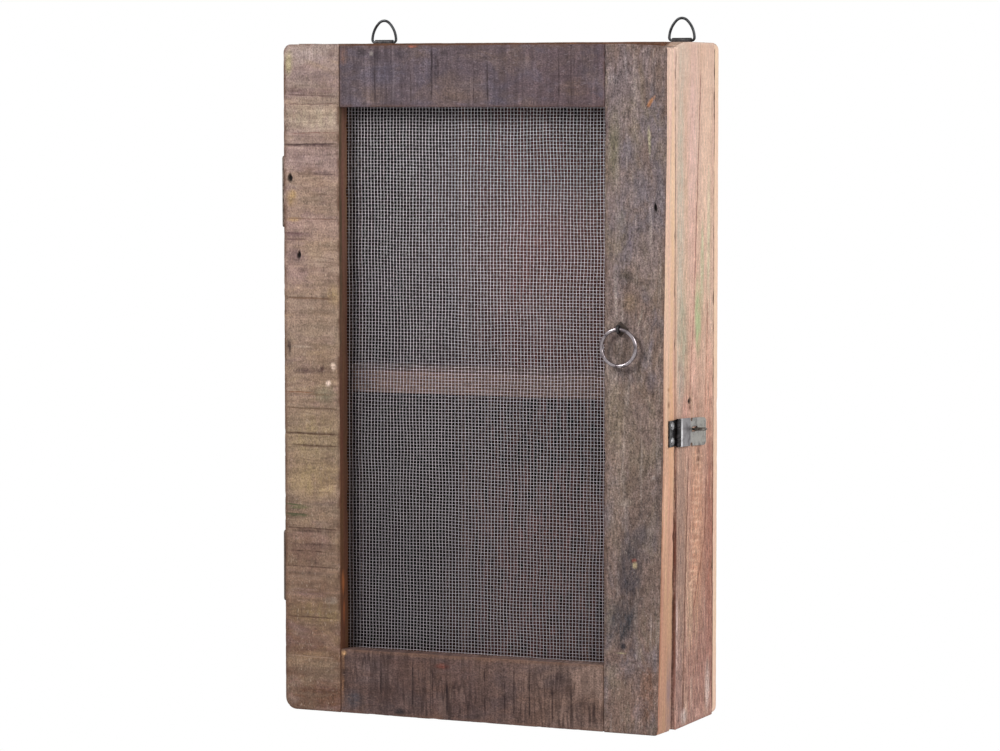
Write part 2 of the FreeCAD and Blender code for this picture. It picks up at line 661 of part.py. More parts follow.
def hasp_staple():
    """Wire staple with a flat loop, its two legs driven into the right side."""
    y = JOINT_Y + STAPLE_REACH
    half = STAPLE_LEG_SPACING / 2
    turn_x = SIDE_X + STAPLE_STAND - STAPLE_WIRE_RADIUS - half
    foot_x = SIDE_X - STAPLE_EMBED
    first = Part.makeLine(V(foot_x, y - half, HASP_Z), V(turn_x, y - half, HASP_Z))
    bend = Part.Arc(V(turn_x, y - half, HASP_Z), V(turn_x + half, y, HASP_Z), V(turn_x, y + half, HASP_Z))
    last = Part.makeLine(V(turn_x, y + half, HASP_Z), V(foot_x, y + half, HASP_Z))
    path = Part.Wire([first, bend.toShape(), last])
    wire = Part.Wire(Part.makeCircle(STAPLE_WIRE_RADIUS, V(foot_x, y - half, HASP_Z), V(1, 0, 0)))
    return path.makePipeShell([wire], True, False)


# Ring pull


def pull_eye():
    """Closed eye on a straight shank that is driven through the rose into the stile."""
    eye = Part.makeTorus(EYE_TURN_RADIUS, PULL_EYE_WIRE_RADIUS, V(EYE_X, EYE_Y, EYE_Z), V(1, 0, 0))
    start = EYE_Y + EYE_TURN_RADIUS
    length = DOOR_FRONT_Y + PULL_SHANK_LENGTH - start
    return eye.fuse(Part.makeCylinder(PULL_SHANK_RADIUS, length, V(EYE_X, start, EYE_Z), V(0, 1, 0)))


def pull_rose():
    """Small square plate set on its corner behind the eye."""
    reach = PULL_ROSE_REACH
    corners = [(EYE_X, EYE_Z - reach), (EYE_X + reach, EYE_Z), (EYE_X, EYE_Z + reach), (EYE_X - reach, EYE_Z)]
    run = V(0, -PULL_ROSE_THICKNESS, 0)
    plate = slab(corners, [PULL_ROSE_CORNER] * 4, lambda p: V(p.x, DOOR_FRONT_Y, p.y), run)
    bore = PULL_SHANK_RADIUS + PULL_SHANK_CLEARANCE
    length = PULL_ROSE_THICKNESS + 2 * CUT_OVERRUN
    start = V(EYE_X, DOOR_FRONT_Y + CUT_OVERRUN, EYE_Z)
    return plate.cut(Part.makeCylinder(bore, length, start, V(0, -1, 0)))


def pull_ring():
    """Plain ring of round wire that hangs in the eye."""
    turn = PULL_RING_DIAMETER / 2 - PULL_WIRE_RADIUS
    return Part.makeTorus(turn, PULL_WIRE_RADIUS, V(EYE_X, EYE_Y, EYE_Z - turn), V(0, 1, 0))


# Hangers


def ring_path(x):
    """Centre line of a hanging ring: straight bar, tight feet, long flanks and a round crown."""
    foot = math.radians(RING_FOOT_TURN)
    shoulder = math.radians(RING_FOOT_TURN + RING_FLANK_TURN)
    feet = RING_FOOT_RADIUS * (1 - math.cos(foot))
    crown = RING_CROWN_RADIUS * (1 + math.cos(shoulder))
    flank = (RING_RISE - feet - crown) / (math.cos(foot) - math.cos(shoulder))
    bar = (flank - RING_FOOT_RADIUS) * math.sin(foot) - (flank - RING_CROWN_RADIUS) * math.sin(shoulder)

    def on_arc(centre, radius, heading):
        return centre + V(radius * math.sin(heading), 0, -radius * math.cos(heading))

    corner = V(bar, 0, RING_FOOT_RADIUS)
    foot_end = on_arc(corner, RING_FOOT_RADIUS, foot)
    side = foot_end - on_arc(V(0, 0, 0), flank, foot)
    side_end = on_arc(side, flank, shoulder)
    head = side_end - on_arc(V(0, 0, 0), RING_CROWN_RADIUS, shoulder)
    top = head + V(0, 0, RING_CROWN_RADIUS)
    right = [
        (V(bar, 0, 0), on_arc(corner, RING_FOOT_RADIUS, foot / 2), foot_end),
        (foot_end, on_arc(side, flank, (foot + shoulder) / 2), side_end),
        (side_end, on_arc(head, RING_CROWN_RADIUS, (shoulder + math.pi) / 2), top),
    ]
    shift = V(x, RING_PLANE_Y, RING_BAR_Z)
    mirror = lambda p: V(-p.x, p.y, p.z)
    edges = [Part.makeLine(V(0, 0, 0) + shift, V(bar, 0, 0) + shift)]
    for a, b, c in right:
        edges.append(Part.Arc(a + shift, b + shift, c + shift).toShape())
    for a, b, c in reversed(right):
        edges.append(Part.Arc(mirror(c) + shift, mirror(b) + shift, mirror(a) + shift).toShape())
    edges.append(Part.makeLine(V(-bar, 0, 0) + shift, V(0, 0, 0) + shift))
    return Part.Wire(edges)


def hanger_ring(x):
    """Hanging ring of round wire."""
    wire = Part.makeCircle(RING_WIRE_RADIUS, V(x, RING_PLANE_Y, RING_BAR_Z), V(1, 0, 0))
    return ring_path(x).makePipeShell([Part.Wire(wire)], True, False)


def hanger_strap(x):
    """Sheet strap rolled over the bar of the ring and laid down the back of the cupboard."""
    half = HANGER_WIDTH / 2
    low = RING_BAR_Z - HANGER_LENGTH
    corners = box_corners((x - half, x + half), (low, RING_BAR_Z))
    radii = [half / 2, half / 2, 0, 0]
    tail = slab(corners, radii, lambda p: V(p.x, BACK_Y, p.y), V(0, STRAP_SHEET, 0))
    start = V(x - half, RING_PLANE_Y, RING_BAR_Z)
    roll = Part.makeCylinder(ROLL_RADIUS, HANGER_WIDTH, start, V(1, 0, 0))
    bore_start = start - V(CUT_OVERRUN, 0, 0)
    bore = Part.makeCylinder(ROLL_BORE_RADIUS, HANGER_WIDTH + 2 * CUT_OVERRUN, bore_start, V(1, 0, 0))
    return tail.fuse(roll).removeSplitter().cut(bore)


def hanger_screws(x):
    """Round-head screws of one hanging strap, as hole bodies and as screws."""
    made = []
    for i in range(HANGER_SCREWS):
        z = RING_BAR_Z - HANGER_SCREW_TOP_INSET - i * HANGER_SCREW_SPACING
        seat = V(x, BACK_Y + STRAP_SHEET, z)
        made.append(
            dome_screw(
                seat,
                V(0, -1, 0),
                HANGER_SCREW_RADIUS,
                HANGER_SCREW_HEAD_RADIUS,
                HANGER_SCREW_HEAD_HEIGHT,
                HANGER_SCREW_LENGTH,
            )
        )
    return made


def cut_all(solid, tools):
    """Solid less every tool whose box it meets."""
    for tool in tools:
        if solid.BoundBox.intersect(tool.BoundBox):
            solid = solid.cut(tool)
    return solid


def carcass():
    """Boards, nails and hangers of the fixed body, keyed by piece name."""
    top = cross_board((TOP_Z - TOP_THICKNESS, TOP_Z), SIDE_FRONT_Y, SIDE_REAR_Y)
    bottom = cross_board((BASE_Z, BASE_Z + BOTTOM_THICKNESS), SIDE_FRONT_Y, SIDE_REAR_Y)
    shelf = cross_board((SHELF_LOW_Z, SHELF_TOP_Z), SIDE_FRONT_Y + SHELF_SETBACK, SIDE_REAR_Y)
    boards = {
        "left_side_board": side_board(-1, (top, shelf, bottom)),
        "right_side_board": side_board(1, (top, shelf, bottom)),
        "top_board": top,
        "bottom_board": bottom,
        "shelf_board": shelf,
    }
    for name, board in zip(("left", "middle", "right"), back_boards()):
        boards[f"back_board_{name}"] = board
    side_nails = carcass_nails()
    rear_nails = back_nails()
    hangers = {"left": -HANGER_SPACING / 2, "right": HANGER_SPACING / 2}
    straps = {f"{name}_hanger_strap": hanger_strap(x) for name, x in hangers.items()}
    screws = [pair for x in hangers.values() for pair in hanger_screws(x)]
    holes = [hole for hole, screw in screws]
    boards = {name: cut_all(board, side_nails + rear_nails + holes) for name, board in boards.items()}
    straps = {name: cut_all(strap, holes) for name, strap in straps.items()}
    rings = {f"{name}_hanger_ring": hanger_ring(x) for name, x in hangers.items()}
    fixings = {
        "carcass_nails": Part.makeCompound(side_nails),
        "back_board_nails": Part.makeCompound(rear_nails),
        "hanger_screws": Part.makeCompound([screw for hole, screw in screws]),
    }
    return {**boards, **straps, **rings, **fixings}


def door():
    """Frame, mesh and beads of the door, keyed by piece name."""
    top_span = (OPENING_TOP_Z, DOOR_TOP_Z)
    bottom_span = (DOOR_LOW_Z, OPENING_LOW_Z)
    tenons = (rail_tenons(*top_span), rail_tenons(*bottom_span))
    left, right, top, bottom = mesh_beads()
    return {
        "left_stile": stile(left_stile_outline(), tenons),
        "right_stile": stile(right_stile_outline(), tenons),
        "top_rail": rail(top_span),
        "bottom_rail": rail(bottom_span),
        "wire_mesh": wire_mesh(),
        "left_mesh_bead": left,
        "right_mesh_bead": right,
        "top_mesh_bead": top,
        "bottom_mesh_bead": bottom,
    }


def fit_hinges(pieces):
    """Adds both hinges and cuts their screw holes in the door and the carcass."""
    centres = {"upper": DOOR_TOP_Z - HINGE_INSET, "lower": DOOR_LOW_Z + HINGE_INSET}
    door_screws = []
    carcass_screws = []
    for name, z in centres.items():
        spans = knuckle_spans(z - HINGE_LENGTH / 2, z + HINGE_LENGTH / 2, HINGE_KNUCKLES)
        on_door = hinge_screws(z, -1)
        on_carcass = hinge_screws(z, 1)
        door_leaf = hinge_leaf(z, -1, spans[1::2], spans[0::2])
        carcass_leaf = hinge_leaf(z, 1, spans[0::2], spans[1::2])
        pieces[f"{name}_hinge_door_leaf"] = cut_all(door_leaf, [hole for hole, screw in on_door])
        pieces[f"{name}_hinge_carcass_leaf"] = cut_all(carcass_leaf, [hole for hole, screw in on_carcass])
        pieces[f"{name}_hinge_pin"] = hinge_pin(z)
        door_screws += on_door
        carcass_screws += on_carcass
    pieces["left_stile"] = cut_all(pieces["left_stile"], [hole for hole, screw in door_screws])
    pieces["left_side_board"] = cut_all(pieces["left_side_board"], [hole for hole, screw in carcass_screws])
    pieces["hinge_door_screws"] = Part.makeCompound([screw for hole, screw in door_screws])
    pieces["hinge_carcass_screws"] = Part.makeCompound([screw for hole, screw in carcass_screws])


def fit_hasp(pieces):
    """Adds the hasp and its staple and cuts what they need in the door and the right side."""
    screws = hasp_screws()
    holes = [hole for hole, screw in screws]
    staple = hasp_staple()
    pieces["hasp_leaf"] = cut_all(hasp_leaf(), holes)
    pieces["hasp_strap"] = hasp_strap()
    pieces["hasp_pin"] = hasp_pin()
    pieces["hasp_leaf_screws"] = Part.makeCompound([screw for hole, screw in screws])
    pieces["hasp_staple"] = staple
    pieces["right_stile"] = cut_all(pieces["right_stile"], holes)
    pieces["right_side_board"] = pieces["right_side_board"].cut(staple)


def fit_pull(pieces):
    """Adds the ring pull and bores its shank hole in the right stile."""
    eye = pull_eye()
    pieces["pull_eye"] = eye
    pieces["pull_rose"] = pull_rose()
    pieces["pull_ring"] = pull_ring()
    pieces["right_stile"] = pieces["right_stile"].cut(eye)


def build():
    """Every piece of the cupboard by name, written one file each."""
    pieces = {**carcass(), **door()}
    fit_hinges(pieces)
    fit_hasp(pieces)
    fit_pull(pieces)
    os.makedirs("parts", exist_ok=True)
    for name, shape in pieces.items():
        shape.exportStep(f"parts/{name}.step")
        print(name, len(shape.Solids), shape.isValid())


build()
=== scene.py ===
"""Looks of a small wall-hung cupboard of reclaimed boards with a wire-mesh door.

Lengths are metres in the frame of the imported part: x to the right, y towards the
wall and z up, with the origin midway between the two hanging rings. Marks on the
boards are placed in millimetres from the door's middle, front and foot.
"""

import json
import logging
import math
from dataclasses import dataclass, field, replace
from enum import Enum, IntEnum
from typing import Any, Optional, Protocol, Sequence

import bpy
import numpy as np
from mathutils import Matrix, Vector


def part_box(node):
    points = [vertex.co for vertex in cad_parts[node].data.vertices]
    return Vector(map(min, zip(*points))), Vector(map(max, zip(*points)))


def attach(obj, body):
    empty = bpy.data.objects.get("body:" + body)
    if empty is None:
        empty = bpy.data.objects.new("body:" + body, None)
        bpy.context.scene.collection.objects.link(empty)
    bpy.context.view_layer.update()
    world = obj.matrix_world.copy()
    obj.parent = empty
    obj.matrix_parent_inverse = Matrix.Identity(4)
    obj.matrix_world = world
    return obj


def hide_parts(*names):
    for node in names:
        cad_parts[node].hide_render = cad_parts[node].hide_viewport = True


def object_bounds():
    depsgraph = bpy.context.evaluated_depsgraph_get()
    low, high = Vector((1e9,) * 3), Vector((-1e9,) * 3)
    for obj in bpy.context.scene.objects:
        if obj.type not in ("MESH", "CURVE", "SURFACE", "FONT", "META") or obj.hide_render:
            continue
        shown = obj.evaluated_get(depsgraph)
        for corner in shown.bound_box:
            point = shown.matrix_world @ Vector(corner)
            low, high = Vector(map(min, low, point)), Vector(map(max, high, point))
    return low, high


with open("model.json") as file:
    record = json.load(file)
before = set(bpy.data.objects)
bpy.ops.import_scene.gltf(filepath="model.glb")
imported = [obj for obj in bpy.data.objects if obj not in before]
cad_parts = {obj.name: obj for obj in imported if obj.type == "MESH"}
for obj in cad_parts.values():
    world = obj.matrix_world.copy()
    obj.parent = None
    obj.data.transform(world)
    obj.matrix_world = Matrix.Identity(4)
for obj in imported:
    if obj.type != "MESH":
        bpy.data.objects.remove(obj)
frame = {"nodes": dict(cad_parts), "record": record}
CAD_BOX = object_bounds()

Array = np.ndarray
Colour = tuple[float, float, float]
Tones = tuple[tuple[float, Colour], ...]

LOG = logging.getLogger("cupboard")
MM = 0.001
HASH_PRIMES = (73856093, 19349663, 83492791)
HASH_SEED = 2654435761
HASH_MIXES = ((15, 2246822519), (13, 3266489917))
ARC_STEPS = 4
CAP_SHARES = (0.15, 0.4, 0.65, 0.85)
FOCUS_REACH = 3.5 * MM
FOCUS_GAP = 0.45 * MM
LEAST_GAP = 0.2 * MM
FULL_COVER = 4.0
JOINT_RIM = 0.2
FACE_STEP = (2.0, 0.6)
EDGE_STEP = (2.5, 1.0)
MARK_CORE = 1.6
MARK_FALL = 1.25
DRAWN_OUT = 0.8
LEAST_LENGTH = 1e-9
RIM_REACH = 1.8 * MM
CHIP_REACH = 2.4 * MM
WEAR_CELLS = (48.0 * MM, 13.0 * MM, 4.5 * MM)
DIP_MIX = (0.55, 0.30, 0.15)
CHIP_LEVELS = (0.25, 0.1)
FINE_CHIPS = 0.35
HOLE_DEPTH = 2.2 * MM
HOLE_TONE = (16, 11, 10)
STEP_WALL = 0.06 * MM
NARROW_FACE = 45.0 * MM
CRACK_FADE = 8.0 * MM
TINY = 1e-6
COLOUR_INPUTS = (6, 7)
COLOUR_OUTPUT = 2
WHITE = (1.0, 1.0, 1.0, 1.0)
NO_TRIANGLES = np.zeros((0, 3), dtype=int)


class Axis(IntEnum):
    """Directions of the shared frame."""

    X = 0
    Y = 1
    Z = 2

    def unit(self) -> Array:
        """Arrow of length one along this direction."""
        return np.eye(3)[self]


class Layer(Enum):
    """Point values that a board carries for its finish."""

    EDGE = "edge"
    FRESH = "fresh"
    END = "end"
    MARK = "mark"
    TONE = "tone"
    HOLE = "hole"


def linear(colour: Colour) -> tuple[float, float, float, float]:
    """Linear colour with full cover of a colour written from 0 to 255.

    Args:
        colour: red, green and blue.

    Returns:
        Red, green, blue and cover.
    """
    share = np.asarray(colour) / 255.0
    value = np.where(share <= 0.04045, share / 12.92, ((share + 0.055) / 1.055) ** 2.4)
    return (float(value[0]), float(value[1]), float(value[2]), 1.0)


def lattice_noise(points: Array, seed: int) -> Array:
    """Smooth noise: hashed values at each unit cell's corners, blended by 3t^2 - 2t^3.

    Args:
        points: positions counted in cells, three numbers on the last axis.
        seed: picks one pattern of many.

    Returns:
        One value from -1 to 1 for each point.
    """
    cell = np.floor(points).astype(np.int64)
    part = points - cell
    part = part * part * (3.0 - 2.0 * part)
    total = np.zeros(points.shape[:-1])
    for corner in np.ndindex(2, 2, 2):
        at = (cell + np.array(corner)).astype(np.uint64) * np.array(HASH_PRIMES, dtype=np.uint64)
        code = at[..., 0] ^ at[..., 1] ^ at[..., 2] ^ np.uint64(seed * HASH_SEED % 2**32)
        for shift, factor in HASH_MIXES:
            code = (code ^ (code >> np.uint64(shift))) * np.uint64(factor)
        value = ((code >> np.uint64(16)) & np.uint64(0xFFFF)).astype(float) / 32767.5 - 1.0
        total += value * np.prod(np.where(np.array(corner) > 0, part, 1.0 - part), axis=-1)
    return total


def soft_step(value: Array, slope: float, shift: float) -> Array:
    """Share from 0 to 1: the value times the slope, less the shift, held at both ends."""
    return np.clip(value * slope - shift, 0.0, 1.0)


def spread(length: float, gap: float, focus: Sequence[float] = ()) -> Array:
    """Places along a run: even steps of about the gap, with close steps round each focus.

    Args:
        length: the run's length.
        gap: the even step.
        focus: places that need close steps.

    Returns:
        Rising places from zero to the length, both ends left out.
    """
    places = [np.linspace(0.0, length, max(int(math.ceil(length / gap)), 1) + 1)]
    places += [np.arange(c - FOCUS_REACH, c + FOCUS_REACH, FOCUS_GAP) for c in focus]
    row = np.sort(np.concatenate(places))
    row = row[(row > LEAST_GAP) & (row < length - LEAST_GAP)]
    return row[np.concatenate([[True], np.diff(row) > LEAST_GAP])] if len(row) else row


def closed_shell(name: str, rings: Array, layers: dict[Layer, Array]) -> bpy.types.Object:
    """Closed mesh over rings of points, each end drawn together at its middle.

    Args:
        name: the piece's name.
        rings: points as (ring, place round it, 3).
        layers: values or colours for each ring point, kept as point attributes.

    Returns:
        The new object, with faces outwards and smooth.
    """
    count, around = rings.shape[:2]
    poles = np.stack([rings[0].mean(axis=0), rings[-1].mean(axis=0)])
    points = np.concatenate([rings.reshape(-1, 3), poles])
    ring, place = np.meshgrid(np.arange(count - 1), np.arange(around), indexing="ij")
    after = (place + 1) % around
    quads = np.stack([ring * around + place, ring * around + after], axis=-1)
    quads = np.concatenate([quads, quads[..., ::-1] + around], axis=-1).reshape(-1, 4)
    first = np.arange(around)
    second = (first + 1) % around
    last = (count - 1) * around
    start = np.stack([np.full(around, count * around), second, first], axis=-1)
    end = np.stack([np.full(around, count * around + 1), first + last, second + last], axis=-1)
    fans = np.concatenate([start, end])
    a, b, c = (points[quads[:, k]] for k in range(3))
    if np.einsum("ij,ij->", a, np.cross(b, c)) < 0.0:
        quads, fans = quads[:, ::-1], fans[:, ::-1]
    item = fill_mesh(name, points, quads, fans)
    for key, value in layers.items():
        flat = value.reshape(count * around, -1)
        ends = np.stack([flat[:around].mean(axis=0), flat[-around:].mean(axis=0)])
        flat = np.concatenate([flat, ends]).astype(np.float32)
        if flat.shape[1] == 1:
            layer = item.data.attributes.new(key.value, "FLOAT", "POINT")
            layer.data.foreach_set("value", flat.ravel())
        else:
            layer = item.data.attributes.new(key.value, "FLOAT_COLOR", "POINT")
            layer.data.foreach_set("color", np.pad(flat, ((0, 0), (0, 1)), constant_values=1.0).ravel())
    return item


def fill_mesh(name: str, points: Array, quads: Array, triangles: Array) -> bpy.types.Object:
    """New smooth object from whole arrays of points, four-sided and three-sided faces.

    Args:
        name: the piece's name.
        points: places as (point, 3).
        quads: point numbers as (face, 4).
        triangles: point numbers as (face, 3).

    Returns:
        The object, linked into the scene.
    """
    mesh = bpy.data.meshes.new(name)
    mesh.vertices.add(len(points))
    mesh.vertices.foreach_set("co", points.astype(np.float32).ravel())
    corners = np.concatenate([quads.ravel(), triangles.ravel()]).astype(np.int32)
    starts = np.concatenate([
        np.arange(len(quads)) * 4,
        quads.size + np.arange(len(triangles)) * 3,
    ]).astype(np.int32)
    mesh.loops.add(len(corners))
    mesh.loops.foreach_set("vertex_index", corners)
    mesh.polygons.add(len(starts))
    mesh.polygons.foreach_set("loop_start", starts)
    mesh.update(calc_edges=True)
    mesh.validate()
    mesh.polygons.foreach_set("use_smooth", np.ones(len(mesh.polygons), dtype=bool))
    item = bpy.data.objects.new(name, mesh)
    bpy.context.scene.collection.objects.link(item)
    return item


def put(tree: bpy.types.NodeTree, target: Any, value: Any) -> None:
    """Links a socket to the target, or writes a plain value on it.

    Args:
        tree: the node tree in hand.
        target: the input.
        value: a socket or a plain value.
    """
    if isinstance(value, bpy.types.NodeSocket):
        tree.links.new(value, target)
    else:
        target.default_value = value


def add_node(tree: bpy.types.NodeTree, kind: str, *places: Any, **given: Any) -> bpy.types.Node:
    """New node with its settings and inputs.

    Args:
        tree: the node tree in hand.
        kind: the node's type without its prefix.
        places: sockets or values for the first inputs, in order.
        given: inputs by name, which start with a capital and have underscores for spaces, and settings.

    Returns:
        The node.
    """
    node = tree.nodes.new(f"ShaderNode{kind}")
    for name, value in given.items():
        if name[0].isupper():
            put(tree, node.inputs[name.replace("_", " ")], value)
        else:
            setattr(node, name, value)
    for target, value in zip(node.inputs, places):
        put(tree, target, value)
    return node


class NodeSheet:
    """One material's node tree, built by plain calls that hand back sockets."""

    def __init__(self, name: str) -> None:
        """Starts an empty material with its surface shader and output.

        Args:
            name: the material's name.
        """
        self.material = bpy.data.materials.new(name)
        self.material.use_nodes = True
        self.tree = self.material.node_tree
        self.tree.nodes.clear()
        self.shader = add_node(self.tree, "BsdfPrincipled")
        add_node(self.tree, "OutputMaterial", Surface=self.shader.outputs["BSDF"])
        self.place = add_node(self.tree, "TexCoord").outputs["Object"]

    def surface(self, **given: Any) -> None:
        """Writes or links inputs of the surface shader, by name with underscores for spaces."""
        for name, value in given.items():
            put(self.tree, self.shader.inputs[name.replace("_", " ")], value)

    def mapped(self, scale: Sequence[float], shift: Sequence[float]) -> Any:
        """Object coordinates scaled in cells to the metre and shifted in cells."""
        return add_node(self.tree, "Mapping", Vector=self.place, Scale=scale, Location=shift).outputs["Vector"]

    def noise(self, place: Any, detail: float = 3.0, rough: float = 0.55, warp: float = 0.0) -> Any:
        """Cloud noise from 0 to 1 at a mapped place: finer layers, their weight and how far it is pulled about."""
        node = add_node(self.tree, "TexNoise", Vector=place, Scale=1.0, Detail=detail, Roughness=rough, Distortion=warp)
        return node.outputs["Fac"]

    def span(self, value: Any, low: float, high: float, to_low: float = 0.0, to_high: float = 1.0) -> Any:
        """Straight change from the range low to high into to_low to to_high, held at its ends."""
        return add_node(self.tree, "MapRange", value, low, high, to_low, to_high).outputs["Result"]

    def sum(self, operation: str, first: Any, second: Any = 0.0) -> Any:
        """One arithmetic step between two values."""
        return add_node(self.tree, "Math", first, second, operation=operation).outputs[0]

    def times(self, first: Any, second: Any) -> Any:
        """Product of two values."""
        return self.sum("MULTIPLY", first, second)

    def ridge(self, value: Any, width: float) -> Any:
        """Thin line along the middle level of a noise: one at 0.5, falling to zero at the width."""
        off = self.sum("ABSOLUTE", self.sum("SUBTRACT", value, 0.5))
        return self.span(off, 0.0, width, 1.0, 0.0)

    def blend(self, share: Any, first: Any, second: Any) -> Any:
        """Colour that goes from the first to the second.

        Args:
            share: how much of the second shows.
            first: colour under.
            second: colour over.

        Returns:
            The blended colour.
        """
        node = add_node(self.tree, "Mix", share, data_type="RGBA")
        for target, colour in zip(COLOUR_INPUTS, (first, second)):
            put(self.tree, node.inputs[target], colour)
        return node.outputs[COLOUR_OUTPUT]

    def wash(self, colour: Any, tone: Colour, noise: Any, low: float, high: float, amount: float) -> Any:
        """Colour with up to the amount of a tone over it, where a noise rises from low to high."""
        return self.blend(self.times(self.span(noise, low, high), amount), colour, linear(tone))

    def ramp(self, value: Any, tones: Tones) -> Any:
        """Colour read from a row of tones, each at its share of the way.

        Args:
            value: share of the way.
            tones: the row of tones.

        Returns:
            The colour.
        """
        node = add_node(self.tree, "ValToRGB", Fac=value)
        stops = node.color_ramp.elements
        while len(stops) < len(tones):
            stops.new(0.5)
        for stop, (share, colour) in zip(stops, tones):
            stop.position = share
            stop.color = linear(colour)
        return node.outputs["Color"]

    def shade(self, colour: Any, value: Any, hue: Any = 0.5) -> Any:
        """Colour made lighter or darker by the value and turned by the hue, which is 0.5 for no turn."""
        return add_node(self.tree, "HueSaturation", Color=colour, Value=value, Hue=hue).outputs["Color"]

    def layer(self, name: Layer, output: str = "Fac") -> Any:
        """Value or colour of a point attribute."""
        return add_node(self.tree, "Attribute", attribute_name=name.value).outputs[output]

    def along(self, axis: Axis) -> Any:
        """One object coordinate in metres."""
        return add_node(self.tree, "SeparateXYZ", self.place).outputs[int(axis)]

    def bump(self, height: Any, strength: float, distance: float) -> None:
        """Relief on the shader from a height value, in metres."""
        node = add_node(self.tree, "Bump", Strength=strength, Distance=distance, Height=height)
        self.surface(Normal=node.outputs["Normal"])


@dataclass(frozen=True)
class Crack:
    """Thin line on a board, a split or a saw line, from start to end as (sideways, along) in millimetres."""

    run: Axis
    side: Axis
    start: tuple[float, float]
    end: tuple[float, float]
    width: float = 0.9
    wander: float = 1.0
    tone: Colour = (84, 56, 46)
    broken: float = 0.5


def cracks_along(run: Axis, side: Axis, *rows: tuple[Any, ...]) -> tuple[Crack, ...]:
    """Cracks that share their two directions, each row with a crack's other values in order."""
    return tuple(Crack(run, side, *row) for row in rows)


def plain(colour: Colour) -> Tones:
    """Row of tones that stays one colour."""
    return ((0.0, colour), (1.0, colour))


@dataclass(frozen=True)
class Cloud:
    """Noise pattern in wood: cells to the metre across and along the grain, its place, its layers and their weight.

    The warp is how far it is pulled about, and between the two values of show it comes out.
    """

    across: float
    along: float
    offset: float
    detail: float = 3.0
    rough: float = 0.6
    warp: float = 0.0
    show: tuple[float, float] = (0.3, 0.7)


DRIFT = Cloud(16.0, 7.0, 1.0, warp=0.4, show=(0.25, 0.75))
PATCH = Cloud(26.0, 10.0, 5.0, 5.0, 0.65, 0.6, (0.49, 0.62))
PATCH_STEP = 11.0
STREAK = Cloud(150.0, 7.0, 9.0, 5.0, 0.65, 0.3, (0.50, 0.68))
GLEAM = Cloud(210.0, 14.0, 13.0, 4.0, 0.65, 0.2, (0.54, 0.70))
FIBRE = Cloud(480.0, 70.0, 17.0, 3.0, 0.65)
GRIT = Cloud(640.0, 520.0, 19.0, 2.0, 0.7)
MOTTLE = Cloud(150.0, 110.0, 21.0, 4.0, 0.65)
SWING = (0.26, 0.74)
SAW_PLACES = Cloud(22.0, 16.0, 23.0, 4.0, 0.65, show=(0.38, 0.60))
SAW_DARK, SAW_BRIGHT, SAW_HAIR = (0.54, 0.66), (0.45, 0.33), 0.10
PORES = Cloud(420.0, 230.0, 31.0, show=(0.60, 0.72))
FLECKS = Cloud(520.0, 260.0, 37.0, show=(0.61, 0.74))
SAWN_DRIFT = Cloud(30.0, 8.0, 41.0)
SAWN_RINGS = Cloud(330.0, 8.0, 43.0, 4.0, 0.65)
SAWN_GRIT = Cloud(600.0, 300.0, 45.0, 2.0, 0.7)
SAWN_RED = Cloud(130.0, 9.0, 47.0, show=(0.35, 0.7))
RAGGED = Cloud(190.0, 55.0, 53.0, 4.0, 0.7, show=(0.30, 0.64))
RUBBED = Cloud(150.0, 60.0, 59.0, show=(0.34, 0.58))
FRESH_EDGE = (0.42, 0.58)
CRACK_GAPS = (0.40, 0.56)
CRACK_COVER = 0.85
END_SHADE = 0.72
WOOD_SHINE = 0.2
WOOD_RELIEF = 0.6


